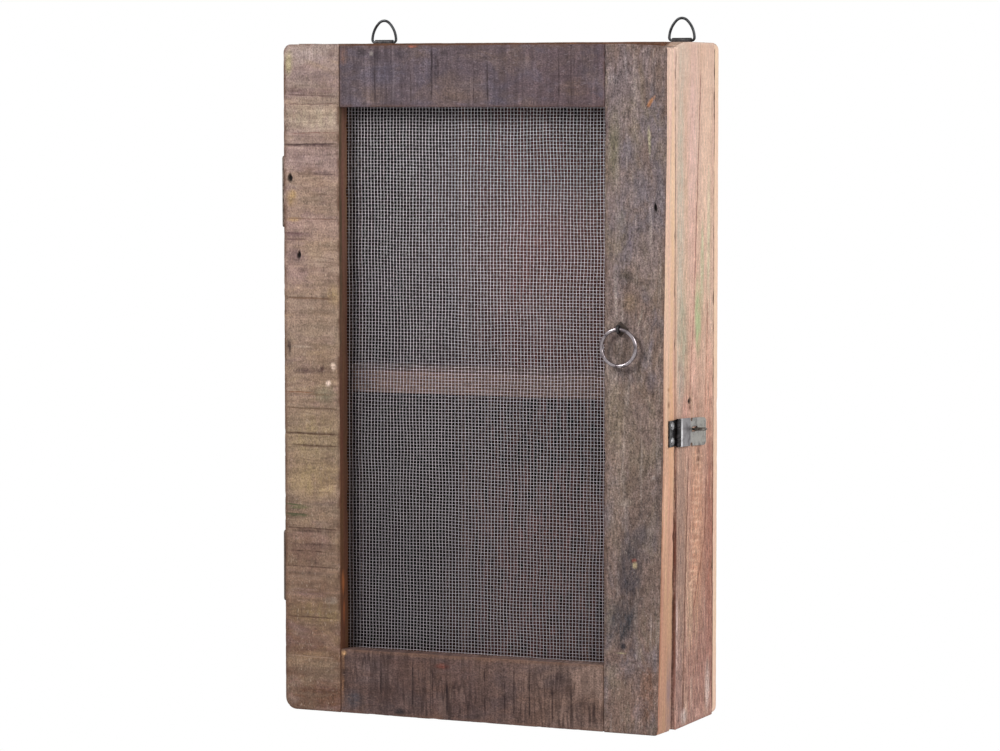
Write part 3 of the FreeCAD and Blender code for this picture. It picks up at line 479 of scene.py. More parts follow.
@dataclass(frozen=True)
class WoodFinish:
    """Weathered reclaimed wood: tones along the board, grain, saw lines, marks and sawn edges."""

    name: str
    tones: Tones
    dark: Colour
    light: Colour
    tints: tuple[Colour, ...] = ()
    grain: Axis = Axis.Z
    fade: Axis = Axis.Z
    fade_from: float = -0.68
    fade_to: float = -0.027
    fibre_cells: tuple[float, float] = (FIBRE.across, FIBRE.along)
    patch: float = 0.5
    patch_cells: tuple[float, float] = (PATCH.across, PATCH.along)
    streak: float = 0.4
    gleam: float = 0.3
    fibre: float = 0.3
    grit: float = 0.3
    mottle: float = 0.2
    lively: tuple[float, float] = (1.0, 1.0)
    band: float = 0.2
    band_gap: float = 9.0
    saw: float = 0.4
    saw_gap: float = 5.0
    speck: float = 0.5
    pore: Colour = (58, 46, 44)
    rim_wear_and_shade: Tones = plain((92, 66, 52))
    rim_share: float = 0.5
    fresh: Tones = ((0.0, (150, 110, 88)), (1.0, (206, 168, 138)))
    fresh_grain: float = 0.5
    roughness: tuple[float, float] = (0.74, 0.95)
    cracks: tuple[Crack, ...] = ()
    seed: float = 0.0

    def stretch(self, across: float, along: float) -> tuple[float, ...]:
        """Scale in cells to the metre that is drawn out along the grain."""
        return tuple(along if axis == self.grain else across for axis in Axis)

    def cloud(self, sheet: NodeSheet, how: Cloud) -> Any:
        """Noise drawn out along the grain, in a pattern of this board's own."""
        shift = (self.seed + how.offset, how.offset * 1.7, self.seed * 0.7)
        return sheet.noise(sheet.mapped(self.stretch(how.across, how.along), shift), how.detail, how.rough, how.warp)

    def way(self, sheet: NodeSheet) -> Any:
        """Share of the way along the board, from 0 to 1."""
        return sheet.span(sheet.along(self.fade), self.fade_from, self.fade_to)

    def crack_mask(self, sheet: NodeSheet, crack: Crack) -> Any:
        """Line from start to end: one where the sideways distance is under the width.

        Args:
            sheet: the material in hand.
            crack: the split, in millimetres sideways and along.

        Returns:
            Mask from 0 to 1.
        """
        low, high = sorted((crack.start, crack.end), key=lambda p: p[1])
        along, grain = sheet.along(crack.run), crack.run.unit()
        first, last = (DOOR_ORIGIN[crack.run] + p[1] * MM for p in (low, high))
        side_low, side_high = (DOOR_ORIGIN[crack.side] + p[0] * MM for p in (low, high))
        middle = sheet.span(along, first, last, side_low, side_high)
        bend = sheet.noise(sheet.mapped(grain * 45.0, (crack.start[0],) * 3), 3.0)
        middle = sheet.sum("ADD", middle, sheet.span(bend, 0.2, 0.8, -crack.wander * MM, crack.wander * MM))
        off = sheet.sum("ABSOLUTE", sheet.sum("SUBTRACT", sheet.along(crack.side), middle))
        line = sheet.span(off, crack.width * 0.35 * MM, crack.width * MM, 1.0, 0.0)
        inside = sheet.times(sheet.span(along, first, first + CRACK_FADE), sheet.span(along, last, last - CRACK_FADE))
        gaps = sheet.noise(sheet.mapped(grain * 150.0, (crack.end[0],) * 3), 2.0)
        whole = sheet.span(gaps, *CRACK_GAPS, 1.0 - crack.broken, 1.0)
        return sheet.times(sheet.times(line, inside), whole)

    def weathered(self, sheet: NodeSheet) -> tuple[Any, Any]:
        """Colour and height of the old face: tones, patches, streaks, placed marks, grain and saw lines.

        Args:
            sheet: the material in hand.

        Returns:
            The colour and the relief value.
        """
        drift = self.cloud(sheet, DRIFT)
        way = sheet.sum("ADD", self.way(sheet), sheet.span(drift, *DRIFT.show, -0.10, 0.10))
        colour = sheet.ramp(way, self.tones)
        for k, tint in enumerate(self.tints):
            across, along = self.patch_cells
            patch = replace(PATCH, across=across, along=along, offset=PATCH.offset + PATCH_STEP * k)
            colour = sheet.wash(colour, tint, self.cloud(sheet, patch), *PATCH.show, self.patch)
        streak = self.cloud(sheet, STREAK)
        colour = sheet.wash(colour, self.dark, streak, *STREAK.show, self.streak)
        colour = sheet.wash(colour, self.light, self.cloud(sheet, GLEAM), *GLEAM.show, self.gleam)
        colour = self.marked(sheet, colour)
        value, height = self.texture(sheet)
        lines, colour = self.saw_lines(sheet, sheet.shade(colour, value))
        colour = self.specks(sheet, colour)
        height = sheet.sum("ADD", height, sheet.times(streak, -0.6))
        return colour, sheet.sum("SUBTRACT", height, sheet.times(lines, 0.4))

    def texture(self, sheet: NodeSheet) -> tuple[Any, Any]:
        """Fine light and dark of the face: fibre along the grain, grit, mottle and bands across the grain.

        Args:
            sheet: the material in hand.

        Returns:
            The factor on the colour and the relief value.
        """
        across, along = self.fibre_cells
        fibre = self.cloud(sheet, replace(FIBRE, across=across, along=along))
        grit = self.cloud(sheet, GRIT)
        mottle = self.cloud(sheet, MOTTLE)
        band = sheet.noise(sheet.mapped(self.stretch(12.0, 1000.0 / self.band_gap), (self.seed, 3.0, 8.0)), 5.0, 0.7)
        lively = sheet.span(self.way(sheet), 0.0, 1.0, *self.lively)
        value: Any = 1.0
        for layer, amount in ((fibre, self.fibre), (grit, self.grit), (mottle, self.mottle), (band, self.band)):
            swing = sheet.times(sheet.span(layer, *SWING, -amount, amount), lively)
            value = sheet.times(sheet.sum("ADD", swing, 1.0), value)
        height = sheet.sum("ADD", sheet.times(fibre, 0.5), sheet.times(grit, 0.5))
        return value, sheet.sum("ADD", height, sheet.times(band, self.band))

    def saw_lines(self, sheet: NodeSheet, colour: Any) -> tuple[Any, Any]:
        """Thin lines across the grain, left by the saw, stronger in some places than others.

        Args:
            sheet: the material in hand.
            colour: the face under the lines.

        Returns:
            The lines' mask and the lined colour.
        """
        step = 1000.0 / self.saw_gap
        tooth = sheet.noise(sheet.mapped(self.stretch(16.0, step), (self.seed, 2.0, self.seed)), 3.0, 0.65, 0.15)
        fine = sheet.noise(sheet.mapped(self.stretch(20.0, step * 0.9), (4.0, self.seed, 1.0)), 1.0, 0.5)
        where = sheet.span(self.cloud(sheet, SAW_PLACES), *SAW_PLACES.show)
        dark = sheet.times(sheet.span(tooth, *SAW_DARK), where)
        bright = sheet.times(sheet.span(tooth, *SAW_BRIGHT), where)
        hair = sheet.times(sheet.ridge(fine, SAW_HAIR), where)
        colour = sheet.blend(sheet.times(dark, self.saw * 0.6), colour, linear(self.dark))
        colour = sheet.blend(sheet.times(bright, self.saw * 0.4), colour, linear(self.light))
        colour = sheet.blend(sheet.times(hair, self.saw), colour, linear(self.dark))
        return sheet.sum("MAXIMUM", dark, sheet.times(hair, 0.6)), colour

    def specks(self, sheet: NodeSheet, colour: Any) -> Any:
        """Small dark pores and pale flecks over the face."""
        colour = sheet.wash(colour, self.pore, self.cloud(sheet, PORES), *PORES.show, self.speck)
        return sheet.wash(colour, self.light, self.cloud(sheet, FLECKS), *FLECKS.show, self.speck)

    def sawn(self, sheet: NodeSheet) -> Any:
        """Colour of a fresh sawn edge: its own tones with fine lines along the grain.

        Args:
            sheet: the material in hand.

        Returns:
            The colour.
        """
        drift = self.cloud(sheet, SAWN_DRIFT)
        way = sheet.sum("ADD", self.way(sheet), sheet.span(drift, *SAWN_DRIFT.show, -0.08, 0.08))
        colour = sheet.ramp(way, self.fresh)
        rings, grit = self.cloud(sheet, SAWN_RINGS), self.cloud(sheet, SAWN_GRIT)
        amount = self.fresh_grain
        value = sheet.times(sheet.span(rings, *SAWN_RINGS.show, 1.0 - 0.55 * amount, 1.0 + 0.35 * amount),
                            sheet.span(grit, *SAWN_GRIT.show, 1.0 - 0.3 * amount, 1.0 + 0.3 * amount))
        red = self.cloud(sheet, SAWN_RED)
        return sheet.shade(colour, value, sheet.span(red, *SAWN_RED.show, 0.512, 0.486))

    def marked(self, sheet: NodeSheet, colour: Any) -> Any:
        """Placed marks over the face, each broken up along the grain.

        Args:
            sheet: the material in hand.
            colour: the face under them.

        Returns:
            The marked colour.
        """
        rag = self.cloud(sheet, RAGGED)
        cover = sheet.times(sheet.layer(Layer.MARK), sheet.span(rag, *RAGGED.show, 0.25, 1.35))
        return sheet.blend(sheet.span(cover, 0.0, 1.0), colour, sheet.layer(Layer.TONE, "Color"))

    def dress(self) -> bpy.types.Material:
        """Whole material: old face, arris rims (worn wood, and on the right side also painted shade and painted light),
        sawn edges, holes, end grain and cracks.

        Returns:
            The material.
        """
        sheet = NodeSheet(self.name)
        colour, height = self.weathered(sheet)
        rub = self.cloud(sheet, RUBBED)
        # Rim colour over the arrises: worn wood, and where a board's rim tones are set for it, painted shade or painted
        # light.
        worn = sheet.times(sheet.layer(Layer.EDGE), sheet.span(rub, *RUBBED.show, 0.0, self.rim_share))
        colour = sheet.blend(worn, colour, sheet.ramp(self.way(sheet), self.rim_wear_and_shade))
        edge = sheet.sum("ADD", sheet.layer(Layer.FRESH), sheet.span(rub, 0.3, 0.7, -0.22, 0.22))
        colour = sheet.blend(sheet.span(edge, *FRESH_EDGE), colour, self.marked(sheet, self.sawn(sheet)))
        colour = sheet.blend(sheet.layer(Layer.HOLE), colour, linear(HOLE_TONE))
        ends = sheet.noise(sheet.mapped((300.0,) * 3, (self.seed, 0.0, 0.0)), 3.0, 0.6)
        value = sheet.span(sheet.layer(Layer.END), 0.0, 1.0, 1.0, END_SHADE)
        colour = sheet.shade(colour, sheet.times(value, sheet.span(ends, 0.3, 0.7, 0.92, 1.08)))
        for crack in self.cracks:
            split = self.crack_mask(sheet, crack)
            colour = sheet.blend(sheet.times(split, CRACK_COVER), colour, linear(crack.tone))
            height = sheet.sum("SUBTRACT", height, split)
        rough = sheet.span(height, -0.3, 0.6, self.roughness[1], self.roughness[0])
        sheet.surface(Base_Color=colour, Roughness=rough, Specular_IOR_Level=WOOD_SHINE)
        sheet.bump(height, WOOD_RELIEF, WOOD_RELIEF * MM)
        return sheet.material


@dataclass(frozen=True)
class MetalFinish:
    """Worn metal: bare tones along the piece, a darkened tone in patches, rust in pits and painted shade towards low x.
    """

    name: str
    bare: Tones
    dark: Colour
    rust: Colour = (96, 62, 44)
    rusting: float = 0.2
    cover: float = 0.5
    roughness: tuple[float, float] = (0.34, 0.62)
    metal: float = 0.9
    grain: float = 220.0
    relief: float = 0.3
    run: Axis = Axis.Z
    run_from: float = -0.68
    run_to: float = 0.0
    painted_shade_x: tuple[float, float, float] = (0.0, 1.0, 1.0)
    seed: float = 0.0

    def dress(self) -> bpy.types.Material:
        """Whole material, with patches, pits and fine lines from noise on object coordinates.

        Returns:
            The material.
        """
        sheet = NodeSheet(self.name)
        patch = sheet.noise(sheet.mapped((self.grain,) * 3, (self.seed, 1.0, 2.0)), 4.0, 0.62, 0.4)
        fine = sheet.noise(sheet.mapped((self.grain * 6,) * 3, (self.seed, 5.0, 3.0)), 3.0, 0.6)
        level = 0.5 + (0.5 - self.cover) * 0.4
        cover = sheet.span(patch, level - 0.12, level + 0.12)
        bare = sheet.ramp(sheet.span(sheet.along(self.run), self.run_from, self.run_to), self.bare)
        colour = sheet.blend(cover, bare, linear(self.dark))
        pits = sheet.times(sheet.span(sheet.sum("ADD", patch, sheet.span(fine, 0.3, 0.7, -0.1, 0.1)), 0.56, 0.70),
                           self.rusting)
        colour = sheet.blend(pits, colour, linear(self.rust))
        colour = sheet.shade(colour, sheet.span(fine, 0.3, 0.7, 0.84, 1.16))
        # Painted shade: the colour is darkened by the share at low x, rising to none beyond the end.
        start, end, share = self.painted_shade_x
        colour = sheet.shade(colour, sheet.span(sheet.along(Axis.X), start, end, share, 1.0))
        rough = sheet.sum("ADD", sheet.span(cover, 0.0, 1.0, *self.roughness), sheet.times(pits, 0.3))
        sheet.surface(Base_Color=colour, Roughness=rough, Metallic=self.metal)
        height = sheet.sum("ADD", sheet.times(patch, 0.8), sheet.times(fine, 0.4))
        sheet.bump(height, self.relief, 0.3 * MM)
        return sheet.material


@dataclass(frozen=True)
class Mark:
    """Placed mark on a board's seen face: a turned ellipse, in millimetres sideways and up."""

    tone: Colour
    at: tuple[float, float]
    reach: tuple[float, float]
    strength: float = 0.6
    turn: float = 0.0

    def cover(self, side: Array, up: Array) -> Array:
        """How much the mark covers each point: strength times a soft step in the ellipse's radius.

        Args:
            side: sideways places in millimetres.
            up: upward places in millimetres.

        Returns:
            Cover from 0 to 1.
        """
        angle = math.radians(self.turn)
        x, z = side - self.at[0], up - self.at[1]
        along = (x * math.cos(angle) + z * math.sin(angle)) / self.reach[0]
        over = (z * math.cos(angle) - x * math.sin(angle)) / self.reach[1]
        return self.strength * np.clip(MARK_CORE - MARK_FALL * np.hypot(along, over), 0.0, 1.0)


@dataclass(frozen=True)
class Hole(Mark):
    """Small dished hole, drop-shaped: its upper half is drawn out to a point."""

    def cover(self, side: Array, up: Array) -> Array:
        """Cover of the ellipse, narrowed above its middle by the height over twice the reach.

        Args:
            side: sideways places in millimetres.
            up: upward places in millimetres.

        Returns:
            Cover from 0 to 1.
        """
        rise = np.clip((up - self.at[1]) / (2.0 * self.reach[1]), 0.0, DRAWN_OUT)
        narrow = self.at[0] + (side - self.at[0]) / (1.0 - rise)
        return super().cover(narrow, up)


class Shaper(Protocol):
    """Anything that moves a board's points to a worn outline."""

    def apply(self, points: Array) -> Array:
        """Points after the change."""


@dataclass(frozen=True)
class CornerWear:
    """Corner of a board worn to a quarter round, in the plane of two directions."""

    centre: tuple[float, float]
    outward: tuple[float, float]
    plane: tuple[Axis, Axis] = (Axis.X, Axis.Z)

    def apply(self, points: Array) -> Array:
        """Squeezes the corner square onto a quarter disc: an offset p becomes p max(p) / |p|.

        Args:
            points: places as (..., 3).

        Returns:
            The moved places.
        """
        moved = points.copy()
        first, second = self.plane
        p = (points[..., first] - self.centre[0]) * self.outward[0]
        q = (points[..., second] - self.centre[1]) * self.outward[1]
        scale = np.maximum(p, q) / np.maximum(np.hypot(p, q), LEAST_LENGTH)
        scale = np.where((p > 0.0) & (q > 0.0), scale, 1.0)
        moved[..., first] = self.centre[0] + p * scale * self.outward[0]
        moved[..., second] = self.centre[1] + q * scale * self.outward[1]
        return moved


@dataclass(frozen=True)
class EndFall:
    """Fall of a board's end: z drops by amount a^n b, from start to full across and from root to tip."""

    axis: Axis
    start: float
    full: float
    root: float
    tip: float
    amount: float
    power: float = 1.0

    def apply(self, points: Array) -> Array:
        """Points with z lowered by amount times the share across to the power, times the share up the end.

        Args:
            points: places as (..., 3).

        Returns:
            The moved places.
        """
        moved = points.copy()
        across = np.clip((points[..., self.axis] - self.start) / (self.full - self.start), 0.0, 1.0)
        end = np.clip((points[..., 2] - self.root) / (self.tip - self.root), 0.0, 1.0)
        moved[..., 2] -= self.amount * across ** self.power * end
        return moved


@dataclass(frozen=True)
class LatchLean:
    """Lean of the latch stile's outer edge from one height to another; a draw below zero moves it out."""

    inner: float
    outer: float
    front: float
    rear: float
    foot: float
    start: float
    draw_front: float
    draw_rear: float

    def apply(self, points: Array) -> Array:
        """Moves x inwards by the draw at that depth, times the share across and the share from start to foot.

        Args:
            points: places as (..., 3).

        Returns:
            The moved places.
        """
        moved = points.copy()
        across = (points[..., 0] - self.inner) / (self.outer - self.inner)
        low = np.clip((self.start - points[..., 2]) / (self.start - self.foot), 0.0, 1.0)
        deep = (points[..., 1] - self.front) / (self.rear - self.front)
        moved[..., 0] -= (self.draw_front + (self.draw_rear - self.draw_front) * deep) * low * across
        return moved


@dataclass(frozen=True)
class Rebate:
    """Step cut from a board's rear inner corner to take the mesh and its beads."""

    at_high: bool
    width: float
    depth: float
    start: float
    end: float


@dataclass
class WornBoard:
    """Board as a closed profile (across, through) carried along its length.

    The arrises are quarter rounds, the faces dip by slow noise, the arrises lose
    chips where a second noise is high, and holes are dished. All of it goes inwards.
    """

    name: str
    body: str
    slot: str
    nodes: tuple[str, ...]
    low: Array
    high: Array
    along: Axis
    across: Axis
    through: Axis
    seed: int
    finish: WoodFinish
    arris: float = 1.3 * MM
    steps: tuple[float, float, float] = (1.4 * MM, 1.4 * MM, 4.0 * MM)
    seen: float = -1.0
    dips: float = 0.35 * MM
    chips: float = 1.3 * MM
    rebate: Optional[Rebate] = None
    fresh: tuple[float, float, float] = (0.0, 0.0, 0.0)
    fresh_ends: bool = False
    marks: tuple[Mark, ...] = ()
    edge_marks: tuple[Mark, ...] = ()
    inner: Optional[Colour] = None
    shapers: tuple[Shaper, ...] = ()

    def corners(self, width: float, depth: float) -> Array:
        """Corners of the profile, anticlockwise, with the rebate's step where there is one.

        Args:
            width: size across.
            depth: size through.

        Returns:
            Corners as (corner, 2).
        """
        if self.rebate is None:
            return np.array([(0, 0), (width, 0), (width, depth), (0, depth)], dtype=float)
        w, d = self.rebate.width, self.rebate.depth
        if self.rebate.at_high:
            step = [(width, depth - d), (width - w, depth - d), (width - w, depth), (0, depth)]
            return np.array([(0, 0), (width, 0)] + step, dtype=float)
        step = [(width, depth), (w, depth), (w, depth - d), (0, depth - d)]
        return np.array([(0, 0), (width, 0)] + step, dtype=float)

    def profile(self, width: float, depth: float) -> tuple[Array, Array, Array]:
        """Closed profile: runs of points joined by quarter rounds c + r (i sin t - o cos t).

        Here i and o are the directions into and out of a corner and c is the round's centre.

        Args:
            width: size across.
            depth: size through.

        Returns:
            Points and outward normals as (point, 2), and each point's distance from an arris.
        """
        corners = self.corners(width, depth)
        ahead = np.roll(corners, -1, axis=0) - corners
        length = np.linalg.norm(ahead, axis=1)
        out = ahead / length[:, None]
        into = np.roll(out, 1, axis=0)
        turn = np.linspace(0.0, np.pi / 2, ARC_STEPS + 1)[:, None]
        radius = self.arris
        points, normals, rim = [], [], []
        for k in range(len(corners)):
            front = abs(out[k][1]) < 0.5 and self.sees(out[k])
            focus = [m * MM - self.low[self.across] + DOOR_ORIGIN[self.across] for m in self.focus(0)] if front else []
            focus = [f if out[k][0] > 0 else width - f for f in focus]
            gap = self.steps[1] if front else self.steps[2] * (0.5 if length[k] < NARROW_FACE else 1.0)
            run = spread(length[k] - 2 * radius, gap, [f - radius for f in focus])[:, None]
            centre = corners[k] + radius * (out[k] - into[k])
            arc = centre + radius * (np.sin(turn) * into[k] - np.cos(turn) * out[k])
            tangent = np.cos(turn) * into[k] + np.sin(turn) * out[k]
            points += [arc, corners[k] + (radius + run) * out[k]]
            normals += [np.stack([tangent[:, 1], -tangent[:, 0]], axis=1)]
            normals += [np.repeat([[out[k][1], -out[k][0]]], len(run), axis=0)]
            rim += [np.zeros(len(arc)), np.minimum(run, length[k] - 2 * radius - run)[:, 0]]
        return np.concatenate(points), np.concatenate(normals), np.concatenate(rim)

    def sees(self, direction: Array) -> bool:
        """Whether a profile run with this direction lies on the board's seen face."""
        return direction[0] * self.seen < 0.0

    def focus(self, which: int) -> list[float]:
        """Places of small holes, sideways or up, that need close steps."""
        return [m.at[which] for m in self.marks if isinstance(m, Hole)]

    def stations(self, length: float) -> tuple[Array, Array, Array]:
        """Places along the board, how far the profile is drawn in there, and how far it is shrunk.

        The ends are rounded: at t from the end the inset is r - sqrt(r^2 - (r - t)^2).

        Args:
            length: the board's length.

        Returns:
            Places, insets and shrink shares, one each for every ring.
        """
        radius = self.arris
        origin = DOOR_ORIGIN[self.along] - self.low[self.along]
        index = 1 if self.along == Axis.Z else 0
        focus = [m * MM + origin for m in self.focus(index)]
        body = radius + spread(length - 2 * radius, self.steps[0], [f - radius for f in focus])
        if self.rebate is not None:
            ends = np.array([self.rebate.start, self.rebate.end])
            ends = np.concatenate([ends - STEP_WALL, ends + STEP_WALL])
            ends = ends[(ends > 2 * radius) & (ends < length - 2 * radius)]
            body = np.sort(np.concatenate([body, ends]))
        theta = np.linspace(0.0, np.pi / 2, ARC_STEPS + 1)
        near = radius * (1.0 - np.cos(theta))
        inset = radius * (1.0 - np.sin(theta))
        caps = np.array(CAP_SHARES)
        places = np.concatenate([0 * caps, near, body, length - near[::-1], 0 * caps + length])
        draws = np.concatenate([0 * caps + radius, inset, 0 * body, inset[::-1], 0 * caps + radius])
        shares = np.concatenate([caps, 0 * near + 1, 0 * body + 1, 0 * near + 1, caps[::-1]])
        return places, draws, shares

    def build(self) -> bpy.types.Object:
        """Board's mesh with its attributes, finish, body and the nodes it stands for.

        Returns:
            The finished piece.
        """
        size = self.high - self.low
        length, width, depth = size[self.along], size[self.across], size[self.through]
        profile, normal, rim = self.profile(width, depth)
        places, draws, shares = self.stations(length)
        flat = profile[None] - draws[:, None, None] * normal[None]
        if self.rebate is not None:
            flat = self.stop_rebate(flat, places, width, depth)
        middle = np.array([width, depth]) / 2
        flat = middle + shares[:, None, None] * (flat - middle)
        across, through = self.across.unit(), self.through.unit()
        rings = self.low + flat[..., :1] * across + flat[..., 1:] * through
        rings = rings + places[:, None, None] * self.along.unit()
        facing = normal[:, :1] * across + normal[:, 1:] * through
        from_end = np.minimum(places, length - places)
        body = (shares >= 1.0) & (from_end > 0.0)
        near = np.minimum(rim[None, :], from_end[:, None])
        layers = self.layers(rings, facing, near, body)
        rings = rings - self.wear(rings, facing, near, body, layers)[..., None] * facing
        for shaper in self.shapers:
            rings = shaper.apply(rings)
        item = closed_shell(self.name, rings, layers)
        item.data.materials.append(self.finish.dress())
        return settle(item, self.body, self.nodes)

    def stop_rebate(self, flat: Array, places: Array, width: float, depth: float) -> Array:
        """Fills the rebate's step beyond its two ends by drawing it out to the rear face.

        Args:
            flat: profile points as (ring, point, 2).
            places: each ring's place along the board.
            width: size across.
            depth: size through.

        Returns:
            The changed profile points.
        """
        cut = self.rebate
        inside = (places > cut.start) & (places < cut.end)
        edge = flat[..., 0] - (width - cut.width) if cut.at_high else cut.width - flat[..., 0]
        step = (edge > -self.arris - TINY) & (flat[..., 1] > depth - cut.depth - self.arris - TINY)
        lift = step & ~inside[:, None]
        share = (flat[..., 1] - (depth - cut.depth - self.arris)) / (cut.depth + self.arris)
        filled = depth - (1.0 - np.clip(share, 0.0, 1.0)) * self.arris
        result = flat.copy()
        result[..., 1] = np.where(lift, filled, flat[..., 1])
        return result

    def layers(self, rings: Array, facing: Array, near: Array, body: Array) -> dict[Layer, Array]:
        """Point values for the finish: worn arris, sawn edge, end grain, marks and holes.

        Args:
            rings: points as (ring, point, 3).
            facing: outward direction of each profile point.
            near: distance of each point from an arris.
            body: which rings are not end caps.

        Returns:
            The values by name, each as (ring, point), and the marks' colour with three numbers.
        """
        shape = rings.shape[:2]
        seen = self.seen * facing[:, self.through]
        front = soft_step(seen, *FACE_STEP) * body[:, None]
        fresh = soft_step(facing @ np.array(self.fresh), *EDGE_STEP) * body[:, None]
        place = (rings - DOOR_ORIGIN) / MM
        side = place[..., self.across if self.along == Axis.Z else self.along]
        cover, tone, hole = np.zeros(shape), np.zeros(shape + (3,)), np.zeros(shape)
        painted = [(m, m.cover(side, place[..., 2]) * front) for m in self.marks]
        painted += [(m, m.cover(place[..., self.through], place[..., 2]) * fresh) for m in self.edge_marks]
        for mark, share in painted:
            if isinstance(mark, Hole):
                hole = np.maximum(hole, share)
            tone = tone * (1.0 - share[..., None]) + np.array(linear(mark.tone)[:3]) * share[..., None]
            cover = 1.0 - (1.0 - cover) * (1.0 - share)
        tone = tone / np.maximum(cover, TINY)[..., None]
        # The inner colour covers the face opposite the seen one: plain wood on the back boards, painted shade on the
        # sides' inner faces.
        if self.inner is not None:
            rear = soft_step(-seen, *FACE_STEP) * body[:, None]
            cover = cover + FULL_COVER * rear
            tone = tone * (1.0 - rear[..., None]) + np.array(linear(self.inner)[:3]) * rear[..., None]
        edge = np.exp(-((near / RIM_REACH) ** 2)) * body[:, None]
        if self.rebate is not None and self.along == Axis.Z:
            edge = np.where(self.butted(rings), JOINT_RIM * edge, edge)
        return {
            Layer.MARK: cover,
            Layer.TONE: tone,
            Layer.HOLE: hole,
            Layer.EDGE: edge,
            Layer.FRESH: np.where(body[:, None], fresh, float(self.fresh_ends)),
            Layer.END: np.broadcast_to(1.0 - body[:, None], shape),
        }

    def butted(self, rings: Array) -> Array:
        """Which points of a stile lie where a rail butts against it, beyond the rebate's ends.

        Args:
            rings: points as (ring, point, 3).

        Returns:
            True or false for each point.
        """
        cut = self.rebate
        up = rings[..., 2] - self.low[2]
        middle = (self.low[0] + self.high[0]) / 2
        inner = (rings[..., 0] > middle) == cut.at_high
        return inner & ((up < cut.start + cut.width) | (up > cut.end - cut.width))

    def wear(self, rings: Array, facing: Array, near: Array, body: Array, layers: dict[Layer, Array]) -> Array:
        """Depth that each point has lost: slow dips, chipped arrises and dished holes.

        Args:
            rings: points as (ring, point, 3).
            facing: outward direction of each profile point.
            near: distance of each point from an arris.
            body: which rings are not end caps.
            layers: point values, of which the holes are used.

        Returns:
            Depth as (ring, point).
        """
        slow, quick, fine = (lattice_noise(rings / cell, self.seed + k) for k, cell in enumerate(WEAR_CELLS))
        level, of_slow, of_quick = DIP_MIX
        dips = self.dips * (level + of_slow * slow + of_quick * quick)
        rub = np.exp(-((near / CHIP_REACH) ** 2))
        large, small = (soft_step(noise, 1.0, start) for noise, start in zip((quick, fine), CHIP_LEVELS))
        chips = self.chips * rub * (large + FINE_CHIPS * small)
        holes = HOLE_DEPTH * np.clip(layers[Layer.HOLE], 0.0, 1.0)
        return (dips + chips + holes) * body[:, None]


def settle(item: bpy.types.Object, body: str, nodes: Sequence[str]) -> bpy.types.Object:
    """Parents a piece to the body it rides on, hides the nodes it stands for, and reports it.

    Args:
        item: the finished piece.
        body: the body it moves with.
        nodes: nodes that it stands for.

    Returns:
        The piece.
    """
    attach(item, body)
    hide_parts(*nodes)
    LOG.info("%s: %d faces, on %s", item.name, len(item.data.polygons), body)
    return item


def corners_of(node: str) -> tuple[Array, Array]:
    """Lowest and highest corner of a node as arrays."""
    low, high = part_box(node)
    return np.array(low), np.array(high)


DOOR_LOW, DOOR_HIGH = corners_of("left_stile")
DOOR_ORIGIN = np.array([0.0, DOOR_LOW[1], DOOR_LOW[2]])

PALE_BOARD = WoodFinish(
    name="pale_board",
    tones=((0.0, (102, 73, 58)), (0.12, (110, 80, 65)), (0.25, (132, 106, 88)), (0.5, (151, 127, 109)),
           (0.78, (160, 132, 122)), (1.0, (158, 138, 131))),
    dark=(92, 70, 60), light=(194, 172, 154), tints=((144, 115, 116), (160, 134, 104), (134, 118, 102)),
    patch=0.36, patch_cells=(16.0, 42.0), streak=0.08, gleam=0.08, fibre=0.10, grit=0.48, mottle=0.22,
    band=0.30, band_gap=9.0, saw=0.45, saw_gap=7.0, rim_share=0.9,
    cracks=cracks_along(
        Axis.X, Axis.Z,
        ((607, -200), (605, -139), 1, 1.6, (104, 80, 78), 0.5),
        ((597, -200), (598, -139), 0.8, 1.4, (122, 96, 88), 0.7),
        ((569, -196), (570, -139), 0.8, 0.8, (134, 100, 90), 0.6),
        ((558, -202), (559, -139), 1.2, 1.4, (72, 54, 54), 0.3),
        ((529.5, -174), (529, -139), 0.9, 1, (96, 76, 76), 0.7),
        ((486, -202), (485, -139), 0.8, 0.7, (122, 92, 80), 0.6),
        ((472, -202), (471, -176), 1.1, 0.8, (100, 74, 74), 0.3),
        ((465, -202), (465.5, -172), 1, 0.8, (100, 74, 74), 0.3),
        ((408, -200), (407, -145), 0.9, 0.7, (112, 84, 68), 0.5),
        ((315, -200), (315, -166), 0.9, 0.7, (132, 92, 68), 0.4),
        ((299.5, -202), (299, -139), 0.9, 0.7, (102, 80, 64), 0.5),
        ((274.5, -202), (274, -139), 1.1, 0.9, (84, 62, 50), 0.3),
        ((263, -192), (262, -139), 0.9, 0.7, (94, 72, 58), 0.5),
        ((204, -202), (203, -176), 1.1, 0.8, (76, 84, 56), 0.2),
        ((194.5, -202), (194, -172), 1.1, 0.8, (72, 76, 54), 0.2),
        ((181, -202), (180, -139), 1, 0.7, (82, 60, 52), 0.4),
        ((158.5, -202), (157.5, -150), 1, 0.8, (80, 60, 52), 0.6),
        ((143, -200), (142, -139), 0.9, 0.7, (88, 66, 58), 0.6),
        ((93, -200), (92, -145), 0.9, 0.7, (88, 64, 54), 0.5),
        ((54, -196), (53, -145), 0.8, 0.7, (156, 130, 112), 0.5),
    ),
    fresh=((0.0, (96, 62, 42)), (0.5, (94, 62, 46)), (0.72, (122, 88, 72)), (1.0, (126, 94, 78))),
)
